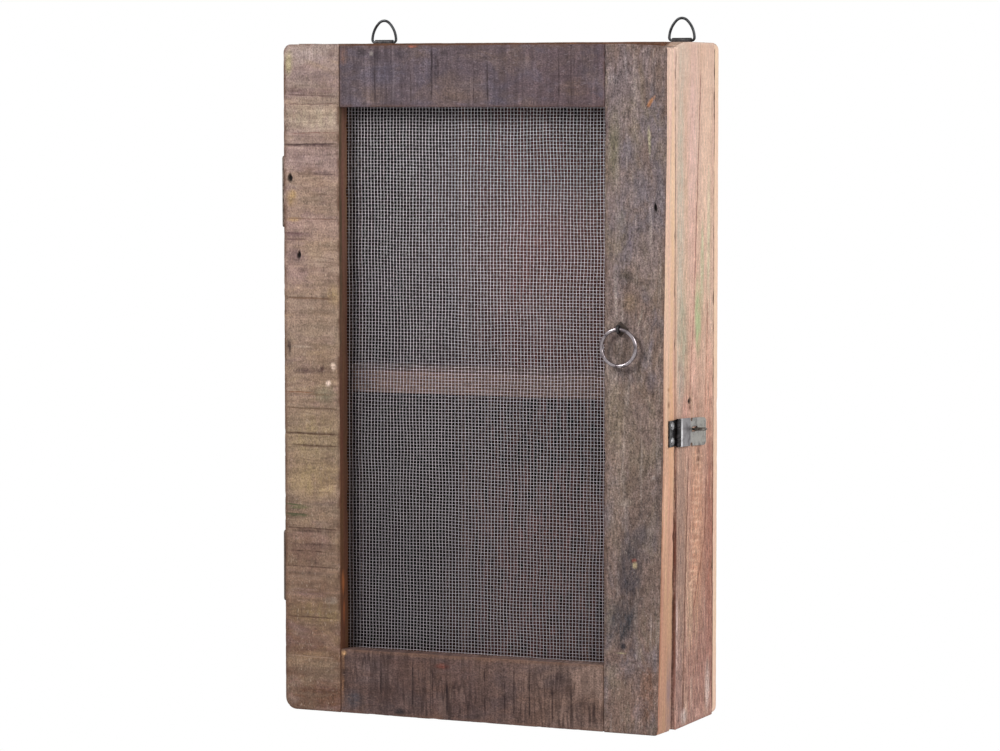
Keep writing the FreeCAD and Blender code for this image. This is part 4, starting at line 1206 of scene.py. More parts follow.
GREY_BOARD = WoodFinish(
    name="grey_board",
    tones=((0.0, (134, 108, 98)), (0.2, (117, 98, 91)), (0.45, (128, 109, 101)), (0.8, (129, 113, 110)),
           (1.0, (122, 106, 105))),
    dark=(80, 68, 66), light=(176, 162, 154), tints=((110, 102, 108), (126, 111, 96), (116, 95, 84)),
    patch=0.7, patch_cells=(34.0, 15.0), streak=0.42, gleam=0.40, fibre=0.56, grit=0.76, mottle=0.36,
    fibre_cells=(430.0, 115.0), lively=(0.9, 0.86), band=0.10, saw=0.06, seed=11.0,
    fresh=((0.0, (186, 144, 120)), (0.12, (192, 147, 121)), (0.36, (214, 169, 141)), (0.58, (224, 184, 161)),
           (0.8, (230, 194, 171)), (1.0, (231, 197, 180))),
)
PLUM_BOARD = WoodFinish(
    name="plum_board",
    tones=((0.0, (101, 88, 93)), (0.5, (93, 79, 83)), (1.0, (95, 78, 81))),
    dark=(62, 52, 57), light=(144, 130, 134), tints=((98, 92, 106), (114, 95, 86)),
    grain=Axis.X, fade=Axis.X, fade_from=-0.139, fade_to=0.139, patch_cells=(26.0, 18.0),
    streak=0.10, gleam=0.08, fibre=0.08, grit=0.54, mottle=0.26, band=0.36, band_gap=5.0,
    saw=0.55, saw_gap=4.4, seed=23.0,
    cracks=cracks_along(
        Axis.Z, Axis.X,
        ((-101, 652), (-100.5, 594), 0.9, 0.5, (60, 50, 54), 0.6),
        ((-62.5, 630), (-62, 594), 0.8, 0.4, (66, 54, 54), 0.7),
        ((-40, 654), (-40.5, 600), 1.3, 0.6, (46, 38, 42), 0.4),
        ((-34, 650), (-33, 620), 0.9, 0.5, (56, 46, 50), 0.7),
        ((4, 640), (3.5, 596), 0.8, 0.4, (66, 54, 56), 0.7),
        ((18, 642), (18.5, 596), 1, 0.5, (58, 48, 50), 0.5),
        ((55, 636), (54.5, 594), 0.8, 0.4, (66, 54, 58), 0.7),
        ((92, 652), (92.5, 600), 0.9, 0.5, (58, 48, 50), 0.6),
        ((104.5, 640), (105, 596), 0.8, 0.4, (64, 52, 54), 0.7),
    ),
)
DARK_BOARD = WoodFinish(
    name="dark_board",
    tones=((0.0, (84, 65, 61)), (0.5, (98, 74, 67)), (1.0, (136, 112, 101))),
    dark=(50, 37, 36), light=(138, 114, 104), tints=((104, 84, 80), (80, 68, 70), (104, 78, 66)),
    grain=Axis.X, fade=Axis.X, fade_from=-0.139, fade_to=0.139, patch_cells=(26.0, 18.0),
    streak=0.10, gleam=0.10, fibre=0.08, grit=0.62, mottle=0.26, band=0.36, band_gap=6.0,
    saw=0.8, saw_gap=5.4, pore=(40, 30, 30), seed=31.0,
    cracks=cracks_along(
        Axis.Z, Axis.X,
        ((-95.5, 54), (-96, 16), 1, 0.5, (44, 33, 34), 0.7),
        ((-61.5, 58), (-61, 4), 1.1, 0.5, (44, 33, 34), 0.6),
        ((-40.5, 54), (-40, 6), 0.9, 0.4, (50, 38, 38), 0.7),
        ((-25, 38), (-24.5, 4), 1.5, 0.5, (38, 28, 30), 0.4),
        ((15, 56), (15.5, 4), 0.9, 0.4, (48, 36, 36), 0.6),
        ((36, 44), (36.5, 4), 1.1, 0.5, (46, 34, 34), 0.6),
        ((46, 58), (46, 4), 0.9, 0.4, (50, 38, 38), 0.6),
        ((62.5, 58), (62.5, 3), 1.3, 0.5, (42, 32, 32), 0.4),
        ((86, 44), (86.5, 2), 1.3, 0.5, (46, 34, 34), 0.5),
        ((105.5, 40), (106, 0), 1.2, 0.5, (52, 40, 38), 0.5),
        ((125, 20), (125.5, 0), 1, 0.4, (52, 40, 38), 0.5),
    ),
    rim_wear_and_shade=plain((112, 84, 70)),
)
RIGHT_SIDE = WoodFinish(
    name="right_side_wood",
    tones=((0.0, (160, 124, 114)), (0.2, (162, 122, 107)), (0.42, (188, 150, 132)), (0.6, (208, 175, 155)),
           (1.0, (212, 180, 162))),
    dark=(160, 112, 94), light=(234, 212, 194), tints=((216, 172, 156), (200, 168, 138)),
    patch=0.35, patch_cells=(60.0, 8.0), streak=0.40, gleam=0.36, fibre=0.50, grit=0.36, mottle=0.16,
    band=0.03, saw=0.10, saw_gap=4.0, speck=0.22, pore=(120, 78, 62), rim_share=0.85, seed=41.0, lively=(1.45, 0.35),
    # Front arris rim tones: the dark part low down is painted shade for the gap behind the door edge, and the pale part
    # higher up is painted light that lifts the shadow of that gap.
    rim_wear_and_shade=((0.0, (146, 104, 94)), (0.12, (112, 66, 52)), (0.36, (112, 62, 46)), (0.46, (196, 152, 130)),
          (1.0, (232, 204, 186))),
    cracks=cracks_along(
        Axis.Z, Axis.Y,
        ((98, 632), (82.4, 420), 1.6, 1.2, (126, 78, 74), 0.4),
        ((82.4, 424), (71, 318), 1.4, 2, (132, 84, 74), 0.6),
        ((67, 264), (53, 8), 1.9, 2, (92, 56, 46), 0.3),
        ((120, 410), (113, 290), 1.3, 2, (140, 88, 70), 0.5),
        ((118, 244), (112, 172), 1.6, 1.5, (120, 74, 60), 0.4),
        ((112, 176), (78, 100), 1.6, 1.5, (122, 76, 62), 0.4),
    ),
)
LEFT_SIDE = WoodFinish(
    name="left_side_wood",
    tones=((0.0, (126, 98, 82)), (0.5, (142, 112, 94)), (1.0, (150, 122, 104))),
    dark=(88, 66, 56), light=(184, 154, 132), tints=((134, 110, 88), (128, 108, 104)),
    streak=0.5, gleam=0.35, band=0.05, saw=0.08, saw_gap=8.0, seed=47.0,
)
TOP = WoodFinish(
    name="top_wood", tones=((0.0, (96, 66, 50)), (1.0, (112, 76, 56))),
    dark=(62, 42, 34), light=(148, 108, 82), tints=((84, 62, 52),),
    grain=Axis.X, fade=Axis.X, fade_from=-0.2, fade_to=0.2, band=0.05, saw=0.06, streak=0.5, seed=51.0,
)
INSIDE = replace(
    TOP, name="inside_wood", tones=((0.0, (62, 46, 40)), (1.0, (66, 49, 42))),
    dark=(40, 29, 26), light=(90, 70, 60), tints=((56, 43, 37),), seed=53.0,
)
SHELF = replace(
    TOP, name="shelf_wood", tones=((0.0, (96, 71, 58)), (1.0, (78, 56, 48))),
    dark=(58, 43, 37), light=(124, 98, 84), seed=59.0,
)
# Inside face of the back boards, with painted shade in its tones along x: near black at the left, where the left stile
# and side cast their shadow, reddish brown towards the middle and right.
BACK_WITH_PAINTED_SHADE = WoodFinish(
    name="back_wood",
    tones=((0.0, (9, 8, 9)), (0.14, (11, 9, 10)), (0.24, (30, 21, 21)), (0.36, (74, 46, 41)), (0.52, (96, 55, 48)),
           (0.75, (84, 54, 48)), (1.0, (78, 52, 46))),
    dark=(36, 25, 23), light=(96, 62, 54), tints=((60, 38, 34),), fade=Axis.X, fade_from=-0.19, fade_to=0.19,
    patch=0.25, patch_cells=(12.0, 4.0), streak=0.20, gleam=0.10, fibre=0.34, grit=0.2, mottle=0.2, speck=0.1,
    band=0.05, saw=0.1, seed=61.0, fresh=((0.0, (214, 178, 152)), (1.0, (236, 201, 176))), fresh_grain=0.14,
)
# Near-black beads behind the mesh: painted shade, for the rebate seen in shadow through the mesh.
BEAD_SHADED = WoodFinish(
    name="bead_wood", tones=((0.0, (34, 25, 21)), (1.0, (38, 28, 24))),
    dark=(24, 18, 16), light=(58, 44, 37), tints=((32, 25, 21),), saw=0.15, streak=0.3, seed=67.0,
)
BEAD_SHADED_ACROSS = replace(
    BEAD_SHADED, name="bead_wood_across", grain=Axis.X, fade=Axis.X, fade_from=-0.15, fade_to=0.15, seed=71.0,
)

# Mesh wire with painted light: its tones grow lighter towards the top, and the painted shade along x darkens the wires
# at the left end, where the left stile shades them; the level wires are a copy with deeper painted shade at the left.
ZINC_WIRE_PAINTED_LIGHT = MetalFinish(
    "zinc_wire", ((0.0, (198, 188, 194)), (0.24, (200, 190, 196)), (0.45, (224, 214, 220)), (0.62, (246, 236, 243)),
                  (0.72, (252, 243, 249))), (182, 174, 180),
    rusting=0.03, cover=0.3, roughness=(0.34, 0.42), metal=0.75, grain=330.0, painted_shade_x=(-0.13, -0.06, 0.94),
)
LEVEL_WIRE_PAINTED_LIGHT = replace(ZINC_WIRE_PAINTED_LIGHT, name="level_zinc_wire", painted_shade_x=(-0.14, 0.0, 0.68))
RING_STEEL = MetalFinish(
    "ring_steel", plain((156, 147, 150)), (84, 76, 79),
    rusting=0.06, cover=0.42, roughness=(0.2, 0.32), grain=140.0, relief=0.15, seed=3.0,
)
HANGER_STEEL = MetalFinish(
    "hanger_steel", plain((76, 78, 80)), (38, 39, 41),
    rusting=0.08, cover=0.5, roughness=(0.34, 0.5), metal=0.8, grain=160.0, relief=0.15, seed=5.0,
)
STAPLE_WIRE = MetalFinish(
    "staple_wire", plain((120, 116, 110)), (54, 50, 48), rusting=0.2, cover=0.5, seed=7.0,
)
SCREW_STEEL = MetalFinish(
    "screw_steel", plain((164, 163, 164)), (60, 59, 60),
    rusting=0.15, cover=0.4, roughness=(0.48, 0.62), metal=0.5, grain=420.0, seed=9.0,
)
DARK_IRON = MetalFinish(
    "dark_iron", plain((58, 55, 55)), (26, 25, 27),
    rusting=0.2, cover=0.6, roughness=(0.4, 0.6), metal=0.6, relief=0.2, seed=11.0,
)
BLACK_IRON = MetalFinish(
    "black_iron", plain((70, 67, 69)), (20, 19, 20),
    rusting=0.1, cover=0.55, roughness=(0.2, 0.34), metal=0.7, relief=0.2, seed=12.0,
)
HINGE_IRON = MetalFinish(
    "hinge_iron", ((0.0, (92, 78, 68)), (0.5, (112, 98, 88)), (1.0, (128, 114, 104))), (72, 60, 54),
    rusting=0.3, cover=0.5, roughness=(0.5, 0.7), metal=0.4, relief=0.2, seed=14.0,
)
ROSE_IRON = MetalFinish(
    "rose_iron", plain((74, 62, 54)), (42, 35, 32),
    rusting=0.35, cover=0.5, roughness=(0.45, 0.65), metal=0.5, relief=0.2, seed=15.0,
)
NAIL_IRON = MetalFinish(
    "nail_iron", plain((62, 46, 40)), (36, 28, 26),
    rusting=0.6, cover=0.6, roughness=(0.6, 0.8), metal=0.4, seed=17.0,
)


def hasp_finish() -> MetalFinish:
    """Strap's iron by its own box: black at the knuckle, a painted highlight line beside it, grey, and paler past the
    bend.

    Returns:
        The finish.
    """
    low, high = corners_of("hasp_strap")
    tones = (
        # The near-white band beside the knuckle is a painted highlight, the knuckle's glint.
        (0.0, (24, 23, 24)), (0.11, (24, 23, 24)), (0.14, (236, 234, 236)), (0.17, (236, 234, 236)),
        (0.21, (120, 115, 118)), (0.48, (108, 104, 107)), (0.56, (142, 139, 134)), (1.0, (152, 149, 142)),
    )
    return MetalFinish(
        "hasp_iron", tones, (74, 70, 73), rusting=0.06, cover=0.3, roughness=(0.34, 0.5), metal=0.6, grain=110.0,
        relief=0.15, run=Axis.Y, run_from=float(low[1]), run_to=float(high[1]), seed=13.0,
    )


@dataclass
class DoorFrame:
    """Door's two stiles, two rails and the beads behind the mesh."""

    foot_wear: float = 12.0 * MM
    top_wear: float = 8.0 * MM
    latch_wear: float = 2.5 * MM
    latch_foot_wear: float = 4.5 * MM
    draw_front: float = 5.0 * MM
    draw_rear: float = 2.8 * MM
    swell: float = 2.8 * MM
    swell_from: float = 360.0 * MM
    swell_to: float = 566.0 * MM
    top_drop: float = 3.5 * MM
    top_drop_from: float = 10.0 * MM
    top_drop_height: float = 60.0 * MM
    hinge_rise: float = 1.5 * MM
    hinge_rise_reach: float = 30.0 * MM
    hinge_rise_height: float = 50.0 * MM
    foot_drop: float = 2.0 * MM
    foot_drop_height: float = 55.0 * MM
    taper_below_hasp: float = 10.0 * MM
    rebate_width: float = 10.0 * MM
    rebate_clear: float = 0.3 * MM
    rail_arris: float = 1.0 * MM
    bead_arris: float = 0.7 * MM
    bead_steps: tuple[float, float, float] = (4.0 * MM, 2.0 * MM, 2.0 * MM)
    bead_dips: float = 0.12 * MM
    bead_chips: float = 0.5 * MM
    left_marks: tuple[Mark, ...] = (
        Mark((182, 168, 130), (-194, 637), (4.5, 13)),
        Mark((160, 144, 140), (-165, 645), (26, 8), 0.5),
        Mark((96, 76, 78), (-147, 646), (5, 3.5), 0.7, 60),
        Mark((132, 112, 110), (-170, 624), (30, 7), 0.5),
        Mark((116, 93, 92), (-170, 610), (32, 3.6), 0.75),
        Mark((182, 164, 142), (-166, 584), (34, 13), 0.65),
        Mark((80, 60, 60), (-172, 557.5), (36, 1.3), 0.9, -1),
        Mark((148, 126, 123), (-168, 543), (32, 11), 0.5),
        Mark((110, 88, 86), (-160, 531), (18, 1.3), 0.7),
        Mark((180, 146, 96), (-191, 506), (6.5, 8)),
        Mark((180, 146, 96), (-189, 485), (8, 2.4)),
        Mark((112, 88, 90), (-185, 470), (15, 2.6), 0.75),
        Mark((112, 91, 92), (-187, 449), (14, 7), 0.65),
        Mark((90, 68, 66), (-180, 435), (5, 2.4)),
        Mark((178, 150, 108), (-146, 412), (7, 10)),
        Mark((104, 78, 60), (-149, 414), (1.6, 6), 0.7, 10),
        Mark((116, 88, 70), (-170, 408), (32, 1.3), 0.7),
        Mark((66, 50, 46), (-194.5, 359), (2.4, 8), 0.95),
        Mark((190, 168, 150), (-180, 360), (12, 1.2), 0.8),
        Mark((92, 72, 66), (-172, 336.5), (20, 3), 0.75),
        Mark((72, 48, 44), (-157.5, 339), (2.4, 3.6), 0.9),
        Mark((128, 120, 98), (-156, 314), (12, 9), 0.7),
        Mark((240, 212, 192), (-146.5, 341.5), (2.8, 4.2), 1, 10),
        Mark((236, 210, 194), (-152, 324.5), (3, 3), 1),
        Mark((110, 86, 64), (-172, 313), (30, 1.3)),
        Mark((150, 130, 96), (-165, 270), (34, 30), 0.5),
        Mark((84, 64, 52), (-172, 275), (32, 1.5), 0.8),
        Mark((94, 72, 58), (-168, 263), (30, 1.3), 0.7),
        Mark((166, 142, 104), (-165, 228), (34, 18)),
        Mark((92, 94, 64), (-184, 201), (14, 1.5), 0.8, 2),
        Mark((86, 84, 60), (-186, 193), (14, 1.5), 0.8),
        Mark((114, 86, 76), (-174, 155), (26, 26)),
        Mark((74, 56, 48), (-172, 178), (30, 1.5), 0.7),
        Mark((78, 58, 50), (-166, 165), (30, 1.3), 0.7),
        Mark((84, 62, 54), (-174, 136), (26, 1.3), 0.7),
        Mark((136, 114, 82), (-160, 96), (32, 13), 0.65),
        Mark((150, 136, 124), (-150, 110), (8, 4), 0.5),
        Mark((88, 64, 54), (-172, 60), (30, 2)),
        Hole((16, 11, 10), (-192.8, 525.6), (2.6, 4.4), 1),
        Hole((16, 11, 10), (-183.2, 450.2), (1.9, 4), 1, -8),
    )
    left_edge_marks: tuple[Mark, ...] = (
        Mark((176, 104, 60), (6, 128), (3, 12), 0.7),
        Mark((162, 94, 56), (8, 98), (2.4, 13)),
        Mark((70, 46, 36), (14, 300), (5, 220), 0.5),
        Mark((80, 65, 50), (2.5, 480), (3.6, 170), 0.85),
    )
    right_marks: tuple[Mark, ...] = (
        Mark((112, 98, 98), (152, 605), (14, 44), 0.45),
        Mark((148, 130, 118), (152, 295), (12, 55), 0.4),
        Mark((140, 122, 111), (150, 215), (9, 40), 0.4),
        Mark((98, 83, 76), (178, 212), (14, 48), 0.5),
        Mark((190, 132, 90), (184.5, 601.5), (1.8, 5.5), 1, -36),
        Mark((160, 104, 68), (182, 597), (1.8, 3), 0.9, -36),
        Mark((178, 168, 140), (182.5, 563), (1.5, 14), 0.8, 4),
        Mark((176, 162, 162), (159.5, 633), (1.2, 18), 0.6, 3),
        Mark((156, 144, 146), (146.5, 621), (4.5, 6), 0.5),
        Mark((108, 102, 82), (148, 556), (6, 36), 0.65),
        Mark((104, 99, 110), (161, 552), (8, 18), 0.5),
        Mark((152, 142, 136), (155, 487), (5, 12), 0.45),
        Mark((92, 82, 92), (168, 470), (7, 13), 0.55),
        Mark((80, 70, 60), (164, 434), (13, 5), 0.6, -28),
        Mark((136, 114, 92), (165, 410), (8, 9), 0.5),
        Mark((166, 152, 140), (175.5, 396), (1.1, 11), 0.7, -16),
        Mark((98, 82, 70), (157, 362), (10, 14), 0.55),
        Mark((96, 88, 96), (187, 336), (6, 10), 0.55),
        Mark((122, 109, 88), (150, 300), (9, 30), 0.45),
        Mark((178, 164, 158), (190, 245), (1.8, 2.2), 0.9),
        Mark((142, 128, 116), (161, 220), (10, 4), 0.5),
        Mark((68, 62, 66), (167, 155), (13, 40), 0.82, 4),
        Mark((76, 70, 74), (180, 190), (5, 10), 0.5),
        Mark((64, 63, 67), (159, 104), (15.5, 21), 0.9, -12),
        Mark((150, 78, 66), (171, 165), (2.6, 1.8), 0.9),
        Mark((204, 184, 142), (172, 160.5), (2.2, 3.2), 1, 10),
        Mark((52, 47, 50), (161, 82), (3.2, 3.6), 0.95),
        Mark((166, 152, 120), (158.5, 75.5), (5, 1.1), 0.9),
        Mark((60, 48, 44), (172.5, 68), (4.5, 1.1), 0.9, 22),
        Mark((146, 132, 120), (150, 58), (8, 8), 0.4),
        Mark((112, 80, 64), (187, 40), (7, 45)),
        Hole((16, 11, 10), (189.2, 500.6), (1.5, 4.6), 1, 8),
    )
    right_edge_marks: tuple[Mark, ...] = (
        Mark((230, 192, 148), (21, 480), (6, 150), 0.5),
        Mark((214, 164, 116), (20, 300), (7, 80), 0.5),
        Mark((150, 100, 74), (0, 170), (3, 190), 0.7),
        Mark((152, 124, 120), (24, 34), (7.5, 44), 0.85),
        Mark((150, 104, 72), (13, 327.5), (2.2, 2.2), 0.7),
        Mark((112, 72, 46), (13.5, 313.4), (2.8, 3.4), 0.9),
        Mark((150, 98, 82), (27, 594), (2.6, 3), 0.8),
    )
    top_marks: tuple[Mark, ...] = (
        Mark((58, 50, 54), (-115, 648), (6, 4), 0.8),
        Mark((64, 55, 58), (-98, 645), (5, 7), 0.7),
        Mark((66, 57, 60), (-75, 646), (12, 5)),
        Mark((54, 46, 50), (-36, 634), (1.8, 19), 0.8),
        Mark((58, 50, 53), (-27, 647), (4.5, 3), 0.75),
        Mark((168, 156, 152), (-104.5, 646.5), (2.2, 2.6), 0.9),
        Mark((200, 116, 92), (-60.6, 653.5), (5, 1.4), 0.9),
        Mark((150, 110, 92), (-134, 645), (4, 9)),
        Mark((97, 92, 107), (-92, 627), (26, 12), 0.5),
        Mark((112, 93, 84), (-104, 605), (18, 9), 0.5),
        Mark((110, 91, 82), (-20, 606), (20, 8), 0.45),
        Mark((62, 52, 54), (13.6, 641.7), (4, 1.6), 0.8),
        Mark((112, 90, 78), (108, 612), (14, 10), 0.55),
    )
    bottom_marks: tuple[Mark, ...] = (
        Mark((158, 114, 82), (-137.5, 40), (3, 26), 0.8),
        Mark((190, 148, 108), (-136, 59), (3, 3), 0.9),
        Mark((106, 89, 87), (-106, 40), (26, 14), 0.5),
        Mark((66, 64, 70), (-125, 15), (9, 10), 0.7),
        Mark((46, 40, 42), (-75, 4), (6, 4), 0.8),
        Mark((48, 37, 37), (-95, 36), (1, 16), 0.8),
        Mark((50, 38, 38), (-61, 34), (1, 20), 0.8),
        Mark((42, 32, 32), (-25, 18), (1.6, 16), 0.9),
        Mark((112, 62, 52), (-30, 52), (8, 3)),
        Mark((118, 90, 76), (0, 62), (150, 3)),
    )

    def stile_rebate(self, at_high: bool) -> Rebate:
        """Rebate of a stile, read from where the beads and the mesh lie.

        Args:
            at_high: whether it lies on the stile's right.

        Returns:
            The rebate.
        """
        top = corners_of("top_mesh_bead")[1][2] + self.rebate_clear
        foot = corners_of("bottom_mesh_bead")[0][2] - self.rebate_clear
        return Rebate(at_high, self.rebate_width, self.rebate_depth(), foot - DOOR_LOW[2], top - DOOR_LOW[2])

    def rebate_depth(self) -> float:
        """How far the rebate goes in from the door's rear, down to the mesh."""
        return DOOR_HIGH[1] - corners_of("wire_mesh")[0][1]

    def foot_fall(self) -> EndFall:
        """Door's foot, a little lower towards the latch side."""
        low, high = corners_of("left_stile")[0], corners_of("right_stile")[1]
        return EndFall(Axis.X, low[0], high[0], low[2] + self.foot_drop_height, low[2], self.foot_drop)

    def left_stile(self) -> None:
        """Pale hinge stile with its rounded foot corner and worn top corner."""
        low, high = corners_of("left_stile")
        foot, top = self.foot_wear, self.top_wear
        WornBoard(
            "hinge_stile", "door", "pale_board", ("left_stile",), low, high, Axis.Z, Axis.X, Axis.Y, 3, PALE_BOARD,
            rebate=self.stile_rebate(True), fresh=(1.0, 0.0, 0.0), marks=self.left_marks,
            edge_marks=self.left_edge_marks,
            shapers=(
                CornerWear((low[0] + foot, low[2] + foot), (-1.0, -1.0)),
                CornerWear((low[0] + top, high[2] - top), (-1.0, 1.0)),
                EndFall(Axis.X, high[0] + self.hinge_rise_reach, high[0], high[2] - self.hinge_rise_height, high[2],
                        -self.hinge_rise),
                self.foot_fall(),
            ),
        ).build()

    def right_stile(self) -> None:
        """Grey latch stile with a fresh sawn outer edge that draws in below the hasp and swells above it."""
        low, high = corners_of("right_stile")
        hasp = corners_of("hasp_leaf")[0]
        top, foot = self.latch_wear, self.latch_foot_wear
        lean = LatchLean(low[0], high[0], low[1], high[1], low[2], hasp[2] - self.taper_below_hasp,
                         self.draw_front, self.draw_rear)
        swell = LatchLean(low[0], high[0], low[1], high[1], DOOR_LOW[2] + self.swell_to,
                          DOOR_LOW[2] + self.swell_from, -self.swell, 0.0)
        WornBoard(
            "latch_stile", "door", "grey_board", ("right_stile",), low, high, Axis.Z, Axis.X, Axis.Y, 7, GREY_BOARD,
            rebate=self.stile_rebate(False), fresh=(1.0, 0.0, 0.0), marks=self.right_marks,
            edge_marks=self.right_edge_marks,
            shapers=(
                CornerWear((high[0] - foot, low[2] + foot), (1.0, -1.0)),
                CornerWear((high[0] - top, high[2] - top), (1.0, 1.0)),
                EndFall(Axis.X, low[0] + self.top_drop_from, high[0], high[2] - self.top_drop_height, high[2],
                        self.top_drop, 2.0),
                self.foot_fall(),
                lean,
                swell,
            ),
        ).build()

    def rail(self, node: str, name: str, slot: str, finish: WoodFinish, seed: int, marks: tuple[Mark, ...]) -> None:
        """Rail between the stiles, with the rebate along its inner edge.

        Args:
            node: the rail's node.
            name: the piece's name.
            slot: the record's slot.
            finish: its wood.
            seed: picks its wear.
            marks: its placed marks.
        """
        low, high = corners_of(node)
        low[0], high[0] = corners_of("left_stile")[1][0], corners_of("right_stile")[0][0]
        inner_high = node == "bottom_rail"
        WornBoard(
            name, "door", slot, (node,), low, high, Axis.X, Axis.Z, Axis.Y, seed, finish, arris=self.rail_arris,
            rebate=Rebate(inner_high, self.rebate_width, self.rebate_depth(), -1.0, 1.0), marks=marks,
            shapers=(self.foot_fall(),) if inner_high else (),
        ).build()

    def beads(self) -> None:
        """Four plain strips that hold the mesh in the rebate."""
        for side in ("left", "right", "top", "bottom"):
            low, high = corners_of(f"{side}_mesh_bead")
            upright = side in ("left", "right")
            along, across = (Axis.Z, Axis.X) if upright else (Axis.X, Axis.Z)
            WornBoard(
                f"{side}_bead", "door", "bead_wood", (f"{side}_mesh_bead",), low, high, along, across, Axis.Y,
                17 + len(side), BEAD_SHADED if upright else BEAD_SHADED_ACROSS, arris=self.bead_arris,
                steps=self.bead_steps, dips=self.bead_dips, chips=self.bead_chips,
            ).build()

    def build(self) -> None:
        """Stiles, rails and beads in turn."""
        self.left_stile()
        self.right_stile()
        self.rail("top_rail", "door_top_rail", "plum_board", PLUM_BOARD, 11, self.top_marks)
        self.rail("bottom_rail", "door_bottom_rail", "dark_board", DARK_BOARD, 13, self.bottom_marks)
        self.beads()


@dataclass
class WireCloth:
    """Woven wire of the door: upright and level wires that pass over and under each other."""

    pitch_side: float = 3.4 * MM
    pitch_up: float = 3.2 * MM
    wire: float = 0.34 * MM
    upright_wire: float = 0.39 * MM
    sway: float = 0.85 * MM
    kink: float = 0.2 * MM
    belly: float = 0.9 * MM
    crimp: float = 0.42
    sway_cell: float = 38.0 * MM
    kink_cell: float = 6.0 * MM
    belly_cell: float = 95.0 * MM
    side_hold: float = 0.006
    end_hold: float = 0.012

    def drift(self, place: Array, rim: Array, seed: int) -> Array:
        """Sideways wander of the crossings: slow sway, held at the rim, and small kinks."""
        sway = self.sway * rim * lattice_noise(place / self.sway_cell, seed)
        return sway + self.kink * lattice_noise(place / self.kink_cell, seed + 2)

    def strands(self, name: str, upright: bool) -> None:
        """One set of wires: four-sided tubes on the path s + (-1)^(i+j) r, with slow sway.

        Args:
            name: the piece's name.
            upright: whether the wires stand or lie.
        """
        low, high = corners_of("wire_mesh")
        middle_y = (low[1] + high[1]) / 2
        columns = int((high[0] - low[0]) / self.pitch_side)
        rows = int((high[2] - low[2]) / self.pitch_up)
        x = np.linspace(low[0] + self.wire, high[0] - self.wire, columns)
        z = np.linspace(low[2] + self.wire, high[2] - self.wire, rows)
        grid_x, grid_z = np.meshgrid(x, z, indexing="ij")
        i, j = np.meshgrid(np.arange(columns), np.arange(rows), indexing="ij")
        over = np.where((i + j) % 2 == 0, 1.0, -1.0) * (1.0 if upright else -1.0)
        rim = np.minimum((grid_x - low[0]) * (high[0] - grid_x), self.side_hold) / self.side_hold
        rim = rim * np.minimum((grid_z - low[2]) * (high[2] - grid_z), self.end_hold) / self.end_hold
        place = np.stack([grid_x, 0 * grid_x, grid_z], axis=-1)
        belly = self.belly * rim * lattice_noise(place / self.belly_cell, 5)
        path = np.stack([
            grid_x + self.drift(place, rim, 6),
            middle_y + over * self.wire * self.crimp + belly,
            grid_z + self.drift(place, rim, 7),
        ], axis=-1)
        if not upright:
            path = path.swapaxes(0, 1)
        side = Axis.X if upright else Axis.Z
        angle = np.arange(4) * np.pi / 2 + np.pi / 4
        ring = np.outer(np.cos(angle), side.unit()) + np.outer(np.sin(angle), Axis.Y.unit())
        tubes = path[:, :, None, :] + (self.upright_wire if upright else self.wire) / 2 * ring
        item = self.fill(name, tubes)
        item.data.materials.append((ZINC_WIRE_PAINTED_LIGHT if upright else LEVEL_WIRE_PAINTED_LIGHT).dress())
        settle(item, "door", ("wire_mesh",))

    def fill(self, name: str, tubes: Array) -> bpy.types.Object:
        """Mesh of many square tubes with closed ends, from points as (wire, station, 4, 3).

        Args:
            name: the piece's name.
            tubes: the tubes' points.

        Returns:
            The new object.
        """
        wires, stations = tubes.shape[:2]
        first = np.arange(wires)[:, None, None] * stations * 4
        at = first + np.arange(stations - 1)[None, :, None] * 4
        place = np.arange(4)[None, None, :]
        after = (place + 1) % 4
        quads = np.stack([at + place, at + after, at + after + 4, at + place + 4], axis=-1).reshape(-1, 4)
        start = first[:, 0, :] + np.array([3, 2, 1, 0])
        end = first[:, 0, :] + (stations - 1) * 4 + np.arange(4)
        faces = np.concatenate([quads, start, end])
        points = tubes.reshape(-1, 3)
        a, b, c = (points[quads[:, k]] for k in range(3))
        if np.einsum("ij,ij->", a - points.mean(axis=0), np.cross(b - a, c - a)) < 0.0:
            faces = faces[:, ::-1]
        return fill_mesh(name, points, faces, NO_TRIANGLES)

    def build(self) -> None:
        """Upright wires, then level wires."""
        self.strands("mesh_upright_wires", True)
        self.strands("mesh_level_wires", False)


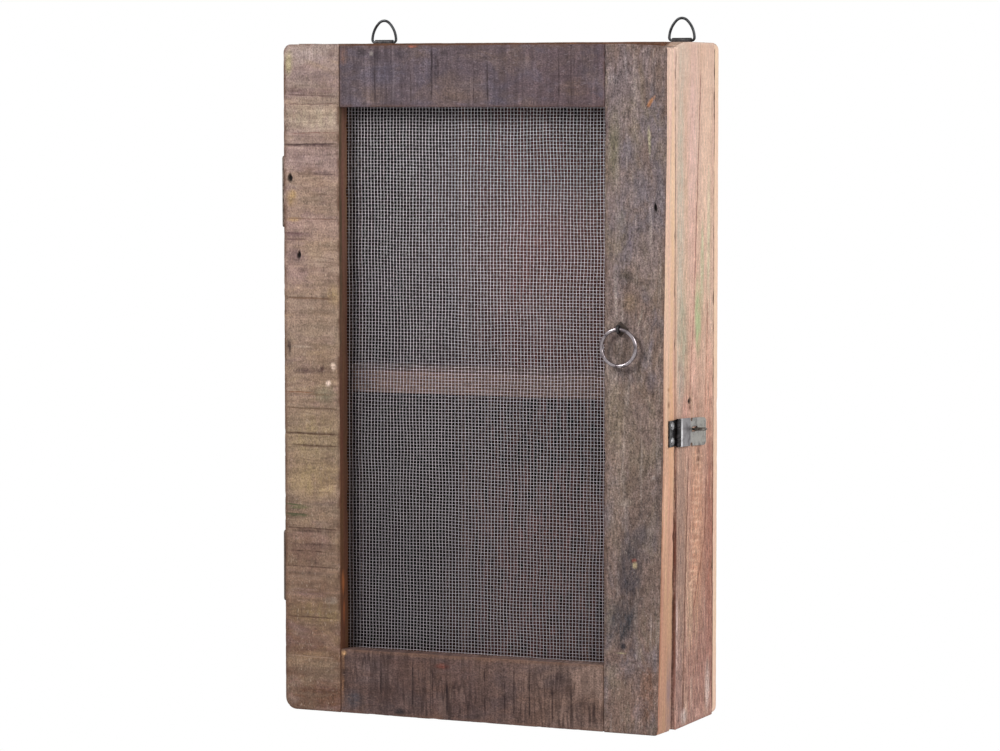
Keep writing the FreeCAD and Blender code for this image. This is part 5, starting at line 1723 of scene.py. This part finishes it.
@dataclass
class Carcass:
    """Sides, top, bottom, shelf and back of the cupboard."""

    # Near-black painted shade on the inner faces of the sides, which lie in shadow inside the cupboard.
    inner: Colour = (14, 11, 11)
    back_face: Colour = (124, 96, 80)
    # Painted shade on the inside faces of the back boards: a broad darkening low down, a band under the top and a band
    # under the shelf, where shadow falls.
    back_painted_shade: tuple[Mark, ...] = (
        Mark((17, 10, 10), (0, 130), (500, 290), 0.72),
        Mark((22, 17, 17), (0, 620), (500, 62), 0.8),
        Mark((12, 8, 8), (0, 268), (500, 58), 0.5),
    )
    back_lap: float = 0.35 * MM
    top_round: float = 5.0 * MM
    hidden_round: float = 1.5 * MM
    foot_round: float = 4.0 * MM
    back_round: float = 7.0 * MM
    top_fall: float = 4.6 * MM
    top_fall_reach: float = 36.0 * MM
    top_fall_height: float = 40.0 * MM
    side_marks: tuple[Mark, ...] = (
        Mark((196, 182, 165), (43, 490), (11, 190), 0.9),
        Mark((208, 188, 172), (52, 640), (16, 30), 0.5),
        Mark((222, 186, 178), (76, 560), (13, 120)),
        Mark((230, 196, 174), (114, 550), (14, 130), 0.7),
        Mark((214, 172, 156), (80, 440), (12, 90)),
        Mark((176, 182, 142), (92, 393), (9, 36), 1),
        Mark((188, 192, 158), (104, 440), (5, 44), 0.8),
        Mark((172, 163, 142), (50, 372), (13, 48), 0.9),
        Mark((172, 154, 142), (47, 330), (8, 26), 0.9),
        Mark((200, 198, 168), (121, 470), (5, 64)),
        Mark((224, 180, 162), (80, 344), (10, 26), 0.7),
        Mark((220, 170, 150), (122, 326), (12, 56), 0.7),
        Mark((208, 160, 148), (58, 296), (14, 22)),
        Mark((154, 126, 113), (47, 165), (14, 130), 1),
        Mark((194, 144, 119), (92, 190), (20, 84), 0.8),
        Mark((104, 74, 58), (95, 258), (5, 10), 0.9),
        Mark((157, 106, 91), (126, 170), (12, 150), 0.75),
        Mark((202, 170, 144), (72, 108), (10, 36)),
        Mark((148, 118, 110), (44, 46), (10, 56), 0.8),
        Mark((150, 110, 100), (112, 56), (26, 60)),
        Mark((212, 192, 184), (122, 30), (7, 24), 0.65),
        Mark((208, 190, 184), (56, 9), (9, 8), 0.7),
        Mark((206, 178, 172), (37, 92), (3, 42), 0.7),
        # Painted shade: a dark strip along the front arris low down, for the shadowed gap between the door's drawn-in
        # edge and the side.
        Mark((60, 31, 25), (32.5, 190), (2.8, 140), 0.95),
        Hole((44, 22, 18), (70.6, 313.4), (4.4, 3.2), 1),
        Mark((84, 46, 38), (71.2, 307.2), (3.2, 3.2), 1),
    )
    rib_count: int = 38
    rib_foot: float = 124.0
    rib_gap: float = 3.6
    rib_tone: Colour = (228, 188, 162)
    rib_middle: float = 66.0
    rib_lean: float = 0.115
    rib_reach: float = 11.0
    rib_thick: float = 1.1
    rib_stray: tuple[float, float] = (5.0, 1.5)
    side_steps: tuple[float, float, float] = (1.8 * MM, 1.5 * MM, 4.0 * MM)
    level_steps: tuple[float, float, float] = (3.0 * MM, 2.4 * MM, 3.0 * MM)
    level_arris: float = 1.0 * MM
    level_chips: float = 0.8 * MM
    back_steps: tuple[float, float, float] = (3.0 * MM, 2.5 * MM, 3.0 * MM)
    back_arris: float = 0.8 * MM
    back_dips: float = 0.25 * MM
    back_chips: float = 0.7 * MM

    def ribs(self) -> tuple[Mark, ...]:
        """Pale saw ribs over the right side's orange streak, uneven by sines of their number k.

        Returns:
            The ribs as marks.
        """
        k = np.arange(self.rib_count)
        aside, upward = self.rib_stray
        up = self.rib_foot + self.rib_gap * k + upward * np.sin(2.4 * k)
        middle = self.rib_middle + self.rib_lean * up + aside * np.sin(1.7 * k)
        wide = self.rib_reach + aside * np.sin(3.1 * k)
        rows = zip(middle, up, wide)
        return tuple(Mark(self.rib_tone, (y, z), (w, self.rib_thick), 0.5, -6) for y, z, w in rows)

    def side(self, node: str, name: str, slot: str, finish: WoodFinish, seed: int, seen: float,
             marks: tuple[Mark, ...]) -> None:
        """Side board, seen on its outer face, with worn front corners.

        Args:
            node: the board's node.
            name: the piece's name.
            slot: the record's slot.
            finish: its wood.
            seed: picks its wear.
            seen: which way the outer face looks along x.
            marks: its placed marks.
        """
        low, high = corners_of(node)
        foot = self.foot_round
        plane = (Axis.Y, Axis.Z)
        top, fall = (self.top_round, self.top_fall) if seen > 0.0 else (self.hidden_round, 0.0)
        WornBoard(
            name, "carcass", slot, (node,), low, high, Axis.Z, Axis.Y, Axis.X, seed, finish, seen=seen, marks=marks,
            steps=self.side_steps, inner=self.inner,
            shapers=(
                CornerWear((low[1] + top, high[2] - top), (-1.0, 1.0), plane),
                CornerWear((low[1] + foot, low[2] + foot), (-1.0, -1.0), plane),
                EndFall(Axis.Y, low[1] + self.top_fall_reach, low[1], high[2] - self.top_fall_height, high[2],
                        fall, 2.0),
            ),
        ).build()

    def level_board(self, node: str, name: str, slot: str, finish: WoodFinish, seed: int) -> None:
        """Top, bottom or shelf between the sides, housed in them.

        Args:
            node: the board's node.
            name: the piece's name.
            slot: the record's slot.
            finish: its wood.
            seed: picks its wear.
        """
        low, high = corners_of(node)
        WornBoard(
            name, "carcass", slot, (node,), low, high, Axis.X, Axis.Y, Axis.Z, seed, finish, seen=1.0,
            steps=self.level_steps, arris=self.level_arris, chips=self.level_chips,
        ).build()

    def back_board(self, place: str, seed: int) -> None:
        """One upright back board; the outer ones have rounded corners and the right one shows its sawn edge.

        Args:
            place: left, middle or right.
            seed: picks its wear.
        """
        low, high = corners_of(f"back_board_{place}")
        hand = {"left": -1.0, "middle": 0.0, "right": 1.0}[place]
        if place == "middle":
            low[0] = corners_of("back_board_left")[1][0] - self.back_lap
            high[0] = corners_of("back_board_right")[0][0] + self.back_lap
        r = self.back_round
        edge = high[0] - r if hand > 0.0 else low[0] + r
        rounds = (CornerWear((edge, high[2] - r), (hand, 1.0)), CornerWear((edge, low[2] + r), (hand, -1.0)))
        WornBoard(
            f"{place}_back_board", "carcass", "back_wood", (f"back_board_{place}",), low, high,
            Axis.Z, Axis.X, Axis.Y, seed, BACK_WITH_PAINTED_SHADE, arris=self.back_arris, steps=self.back_steps,
            fresh=(max(hand, 0.0), 0.0, 0.0), dips=self.back_dips, chips=self.back_chips,
            shapers=rounds if hand else (), inner=self.back_face, marks=self.back_painted_shade, fresh_ends=True,
        ).build()

    def build(self) -> None:
        """All boards of the carcass in turn."""
        self.side("right_side_board", "right_side", "right_side_wood", RIGHT_SIDE, 21, 1.0,
                  self.side_marks + self.ribs())
        self.side("left_side_board", "left_side", "left_side_wood", LEFT_SIDE, 23, -1.0, ())
        self.level_board("top_board", "carcass_top", "inside_wood", TOP, 31)
        self.level_board("bottom_board", "carcass_bottom", "inside_wood", INSIDE, 33)
        self.level_board("shelf_board", "shelf", "shelf_wood", SHELF, 35)
        for seed, place in enumerate(("left", "middle", "right")):
            self.back_board(place, 41 + seed)


@dataclass
class Hardware:
    """Hinges, hasp, ring pull, hangers, screws and nails, which keep their solid shapes."""

    finishes: dict[str, MetalFinish] = field(default_factory=lambda: {
        "ring_steel": RING_STEEL, "hanger_steel": HANGER_STEEL, "staple_wire": STAPLE_WIRE,
        "screw_steel": SCREW_STEEL, "dark_iron": DARK_IRON, "hasp_iron": hasp_finish(), "nail_iron": NAIL_IRON,
    })
    single: dict[str, MetalFinish] = field(default_factory=lambda: {
        "hasp_leaf": BLACK_IRON, "hasp_pin": BLACK_IRON, "pull_rose": ROSE_IRON,
        "upper_hinge_door_leaf": HINGE_IRON, "lower_hinge_door_leaf": HINGE_IRON,
        "upper_hinge_carcass_leaf": HINGE_IRON, "lower_hinge_carcass_leaf": HINGE_IRON,
    })

    def build(self) -> None:
        """Gives each metal node its own finish, or the finish of its slot."""
        slots = {slot: finish.dress() for slot, finish in self.finishes.items()}
        own = {finish.name: finish.dress() for finish in self.single.values()}
        for row in frame["record"]["subparts"]:
            node, slot = row["node"], row["material_slot"]
            if slot in slots:
                material = own[self.single[node].name] if node in self.single else slots[slot]
                item = frame["nodes"][node]
                item.data.materials.clear()
                item.data.materials.append(material)
                LOG.info("%s: finished as %s", node, material.name)


@dataclass
class Studio:
    """Camera at the photograph's angle, soft lamps, white surround and a pale floor."""

    offset: tuple[float, float, float] = (1.4658, -3.34249, 0.5993)
    yaw: float = 23.2248
    pitch: float = 4.1178
    lens: float = 136.55
    sensor: float = 36.0
    floor_drop: float = 0.45
    floor_reach: float = 30.0
    floor_white: float = 0.92
    glow: tuple[float, float, float, float] = (1.3, 2.2, 0.55, 1.0)
    fill: float = 0.18
    aim: tuple[float, float, float] = (0.0, -0.1, -0.3)
    clip: tuple[float, float] = (0.05, 100.0)
    lamps: tuple[tuple[str, tuple[float, float, float], float, float], ...] = (
        ("front_lamp", (-1.15, -1.85, 1.15), 0.7, 50.0),
        ("right_lamp", (2.2, -0.6, 0.6), 1.4, 41.0),
    )

    def stand(self, item: bpy.types.Object, right: Array, back: Array, place: Sequence[float]) -> None:
        """Places a camera or lamp.

        Args:
            item: what is placed.
            right: its own sideways direction.
            back: the direction that it looks away from.
            place: where it stands.
        """
        turn = np.eye(4)
        turn[:3, 0], turn[:3, 1], turn[:3, 2], turn[:3, 3] = right, np.cross(back, right), back, place
        item.matrix_world = Matrix(turn.tolist())
        bpy.context.scene.collection.objects.link(item)

    def camera(self) -> None:
        """Camera turned by yaw and pitch, with the photograph's field of view."""
        y, p = math.radians(self.yaw), math.radians(self.pitch)
        back = np.array([math.sin(y) * math.cos(p), -math.cos(y) * math.cos(p), math.sin(p)])
        right = np.array([math.cos(y), math.sin(y), 0.0])
        data = bpy.data.cameras.new("camera")
        data.sensor_fit = "HORIZONTAL"
        data.sensor_width = self.sensor
        data.lens = self.lens
        data.clip_start, data.clip_end = self.clip
        item = bpy.data.objects.new("camera", data)
        self.stand(item, right, back, DOOR_ORIGIN + self.offset)
        bpy.context.scene.camera = item

    def lamp(self, name: str, place: Sequence[float], size: float, power: float) -> None:
        """Square soft lamp that faces the cupboard.

        Args:
            name: the lamp's name.
            place: where it stands.
            size: side of the square.
            power: watts.
        """
        data = bpy.data.lights.new(name, "AREA")
        data.size = size
        data.energy = power
        item = bpy.data.objects.new(name, data)
        back = np.array(place) - np.array(self.aim)
        back /= np.linalg.norm(back)
        right = np.cross([0.0, 0.0, 1.0], back)
        right /= np.linalg.norm(right)
        self.stand(item, right, back, place)

    def seen_directly(self, tree: bpy.types.NodeTree) -> Any:
        """One for camera, glossy and transmission rays, zero for the rays that light the object.

        Args:
            tree: the node tree in hand.

        Returns:
            The value.
        """
        path = add_node(tree, "LightPath")
        total = path.outputs["Is Camera Ray"]
        for name in ("Is Glossy Ray", "Is Transmission Ray"):
            total = add_node(tree, "Math", total, path.outputs[name], operation="MAXIMUM").outputs[0]
        return total

    def surround(self) -> None:
        """World that looks white and lights the object softly."""
        world = bpy.data.worlds.new("surround")
        bpy.context.scene.world = world
        world.use_nodes = True
        tree = world.node_tree
        tree.nodes.clear()
        light = add_node(tree, "Background", Color=WHITE, Strength=self.fill)
        white = add_node(tree, "Background", Color=WHITE, Strength=1.0)
        mix = add_node(tree, "MixShader", self.seen_directly(tree), light.outputs[0], white.outputs[0])
        add_node(tree, "OutputWorld", Surface=mix.outputs[0])

    def floor(self) -> None:
        """Pale floor below the hung cupboard that keeps its shadow."""
        points = np.array([(-1, -1, 0), (1, -1, 0), (1, 1, 0), (-1, 1, 0)], dtype=float) * self.floor_reach
        points[:, 2] = float(CAD_BOX[0][2]) - self.floor_drop
        item = fill_mesh("floor", points, np.array([[0, 1, 2, 3]]), NO_TRIANGLES)
        material = bpy.data.materials.new("floor")
        material.use_nodes = True
        tree = material.node_tree
        tree.nodes.clear()
        matt = add_node(tree, "BsdfDiffuse", Color=(self.floor_white,) * 3 + (1.0,))
        white = add_node(tree, "Emission", Strength=1.0)
        far = add_node(tree, "VectorMath", add_node(tree, "TexCoord").outputs["Object"], operation="LENGTH")
        glow = add_node(tree, "MapRange", far.outputs["Value"], *self.glow)
        share = add_node(tree, "Math", self.seen_directly(tree), glow.outputs["Result"], operation="MULTIPLY")
        mix = add_node(tree, "MixShader", share.outputs[0], matt.outputs[0], white.outputs[0])
        add_node(tree, "OutputMaterial", Surface=mix.outputs[0])
        item.data.materials.append(material)

    def build(self) -> None:
        """Camera, lamps, surround and floor."""
        bpy.context.scene.view_settings.view_transform = "Standard"
        self.camera()
        for row in self.lamps:
            self.lamp(*row)
        self.surround()
        self.floor()


def main() -> None:
    """Builds the studio and each part of the cupboard in order."""
    logging.basicConfig(level=logging.INFO, format="%(name)s: %(message)s")
    Studio().build()
    DoorFrame().build()
    WireCloth().build()
    Carcass().build()
    Hardware().build()


if __name__ == "__main__":
    main()
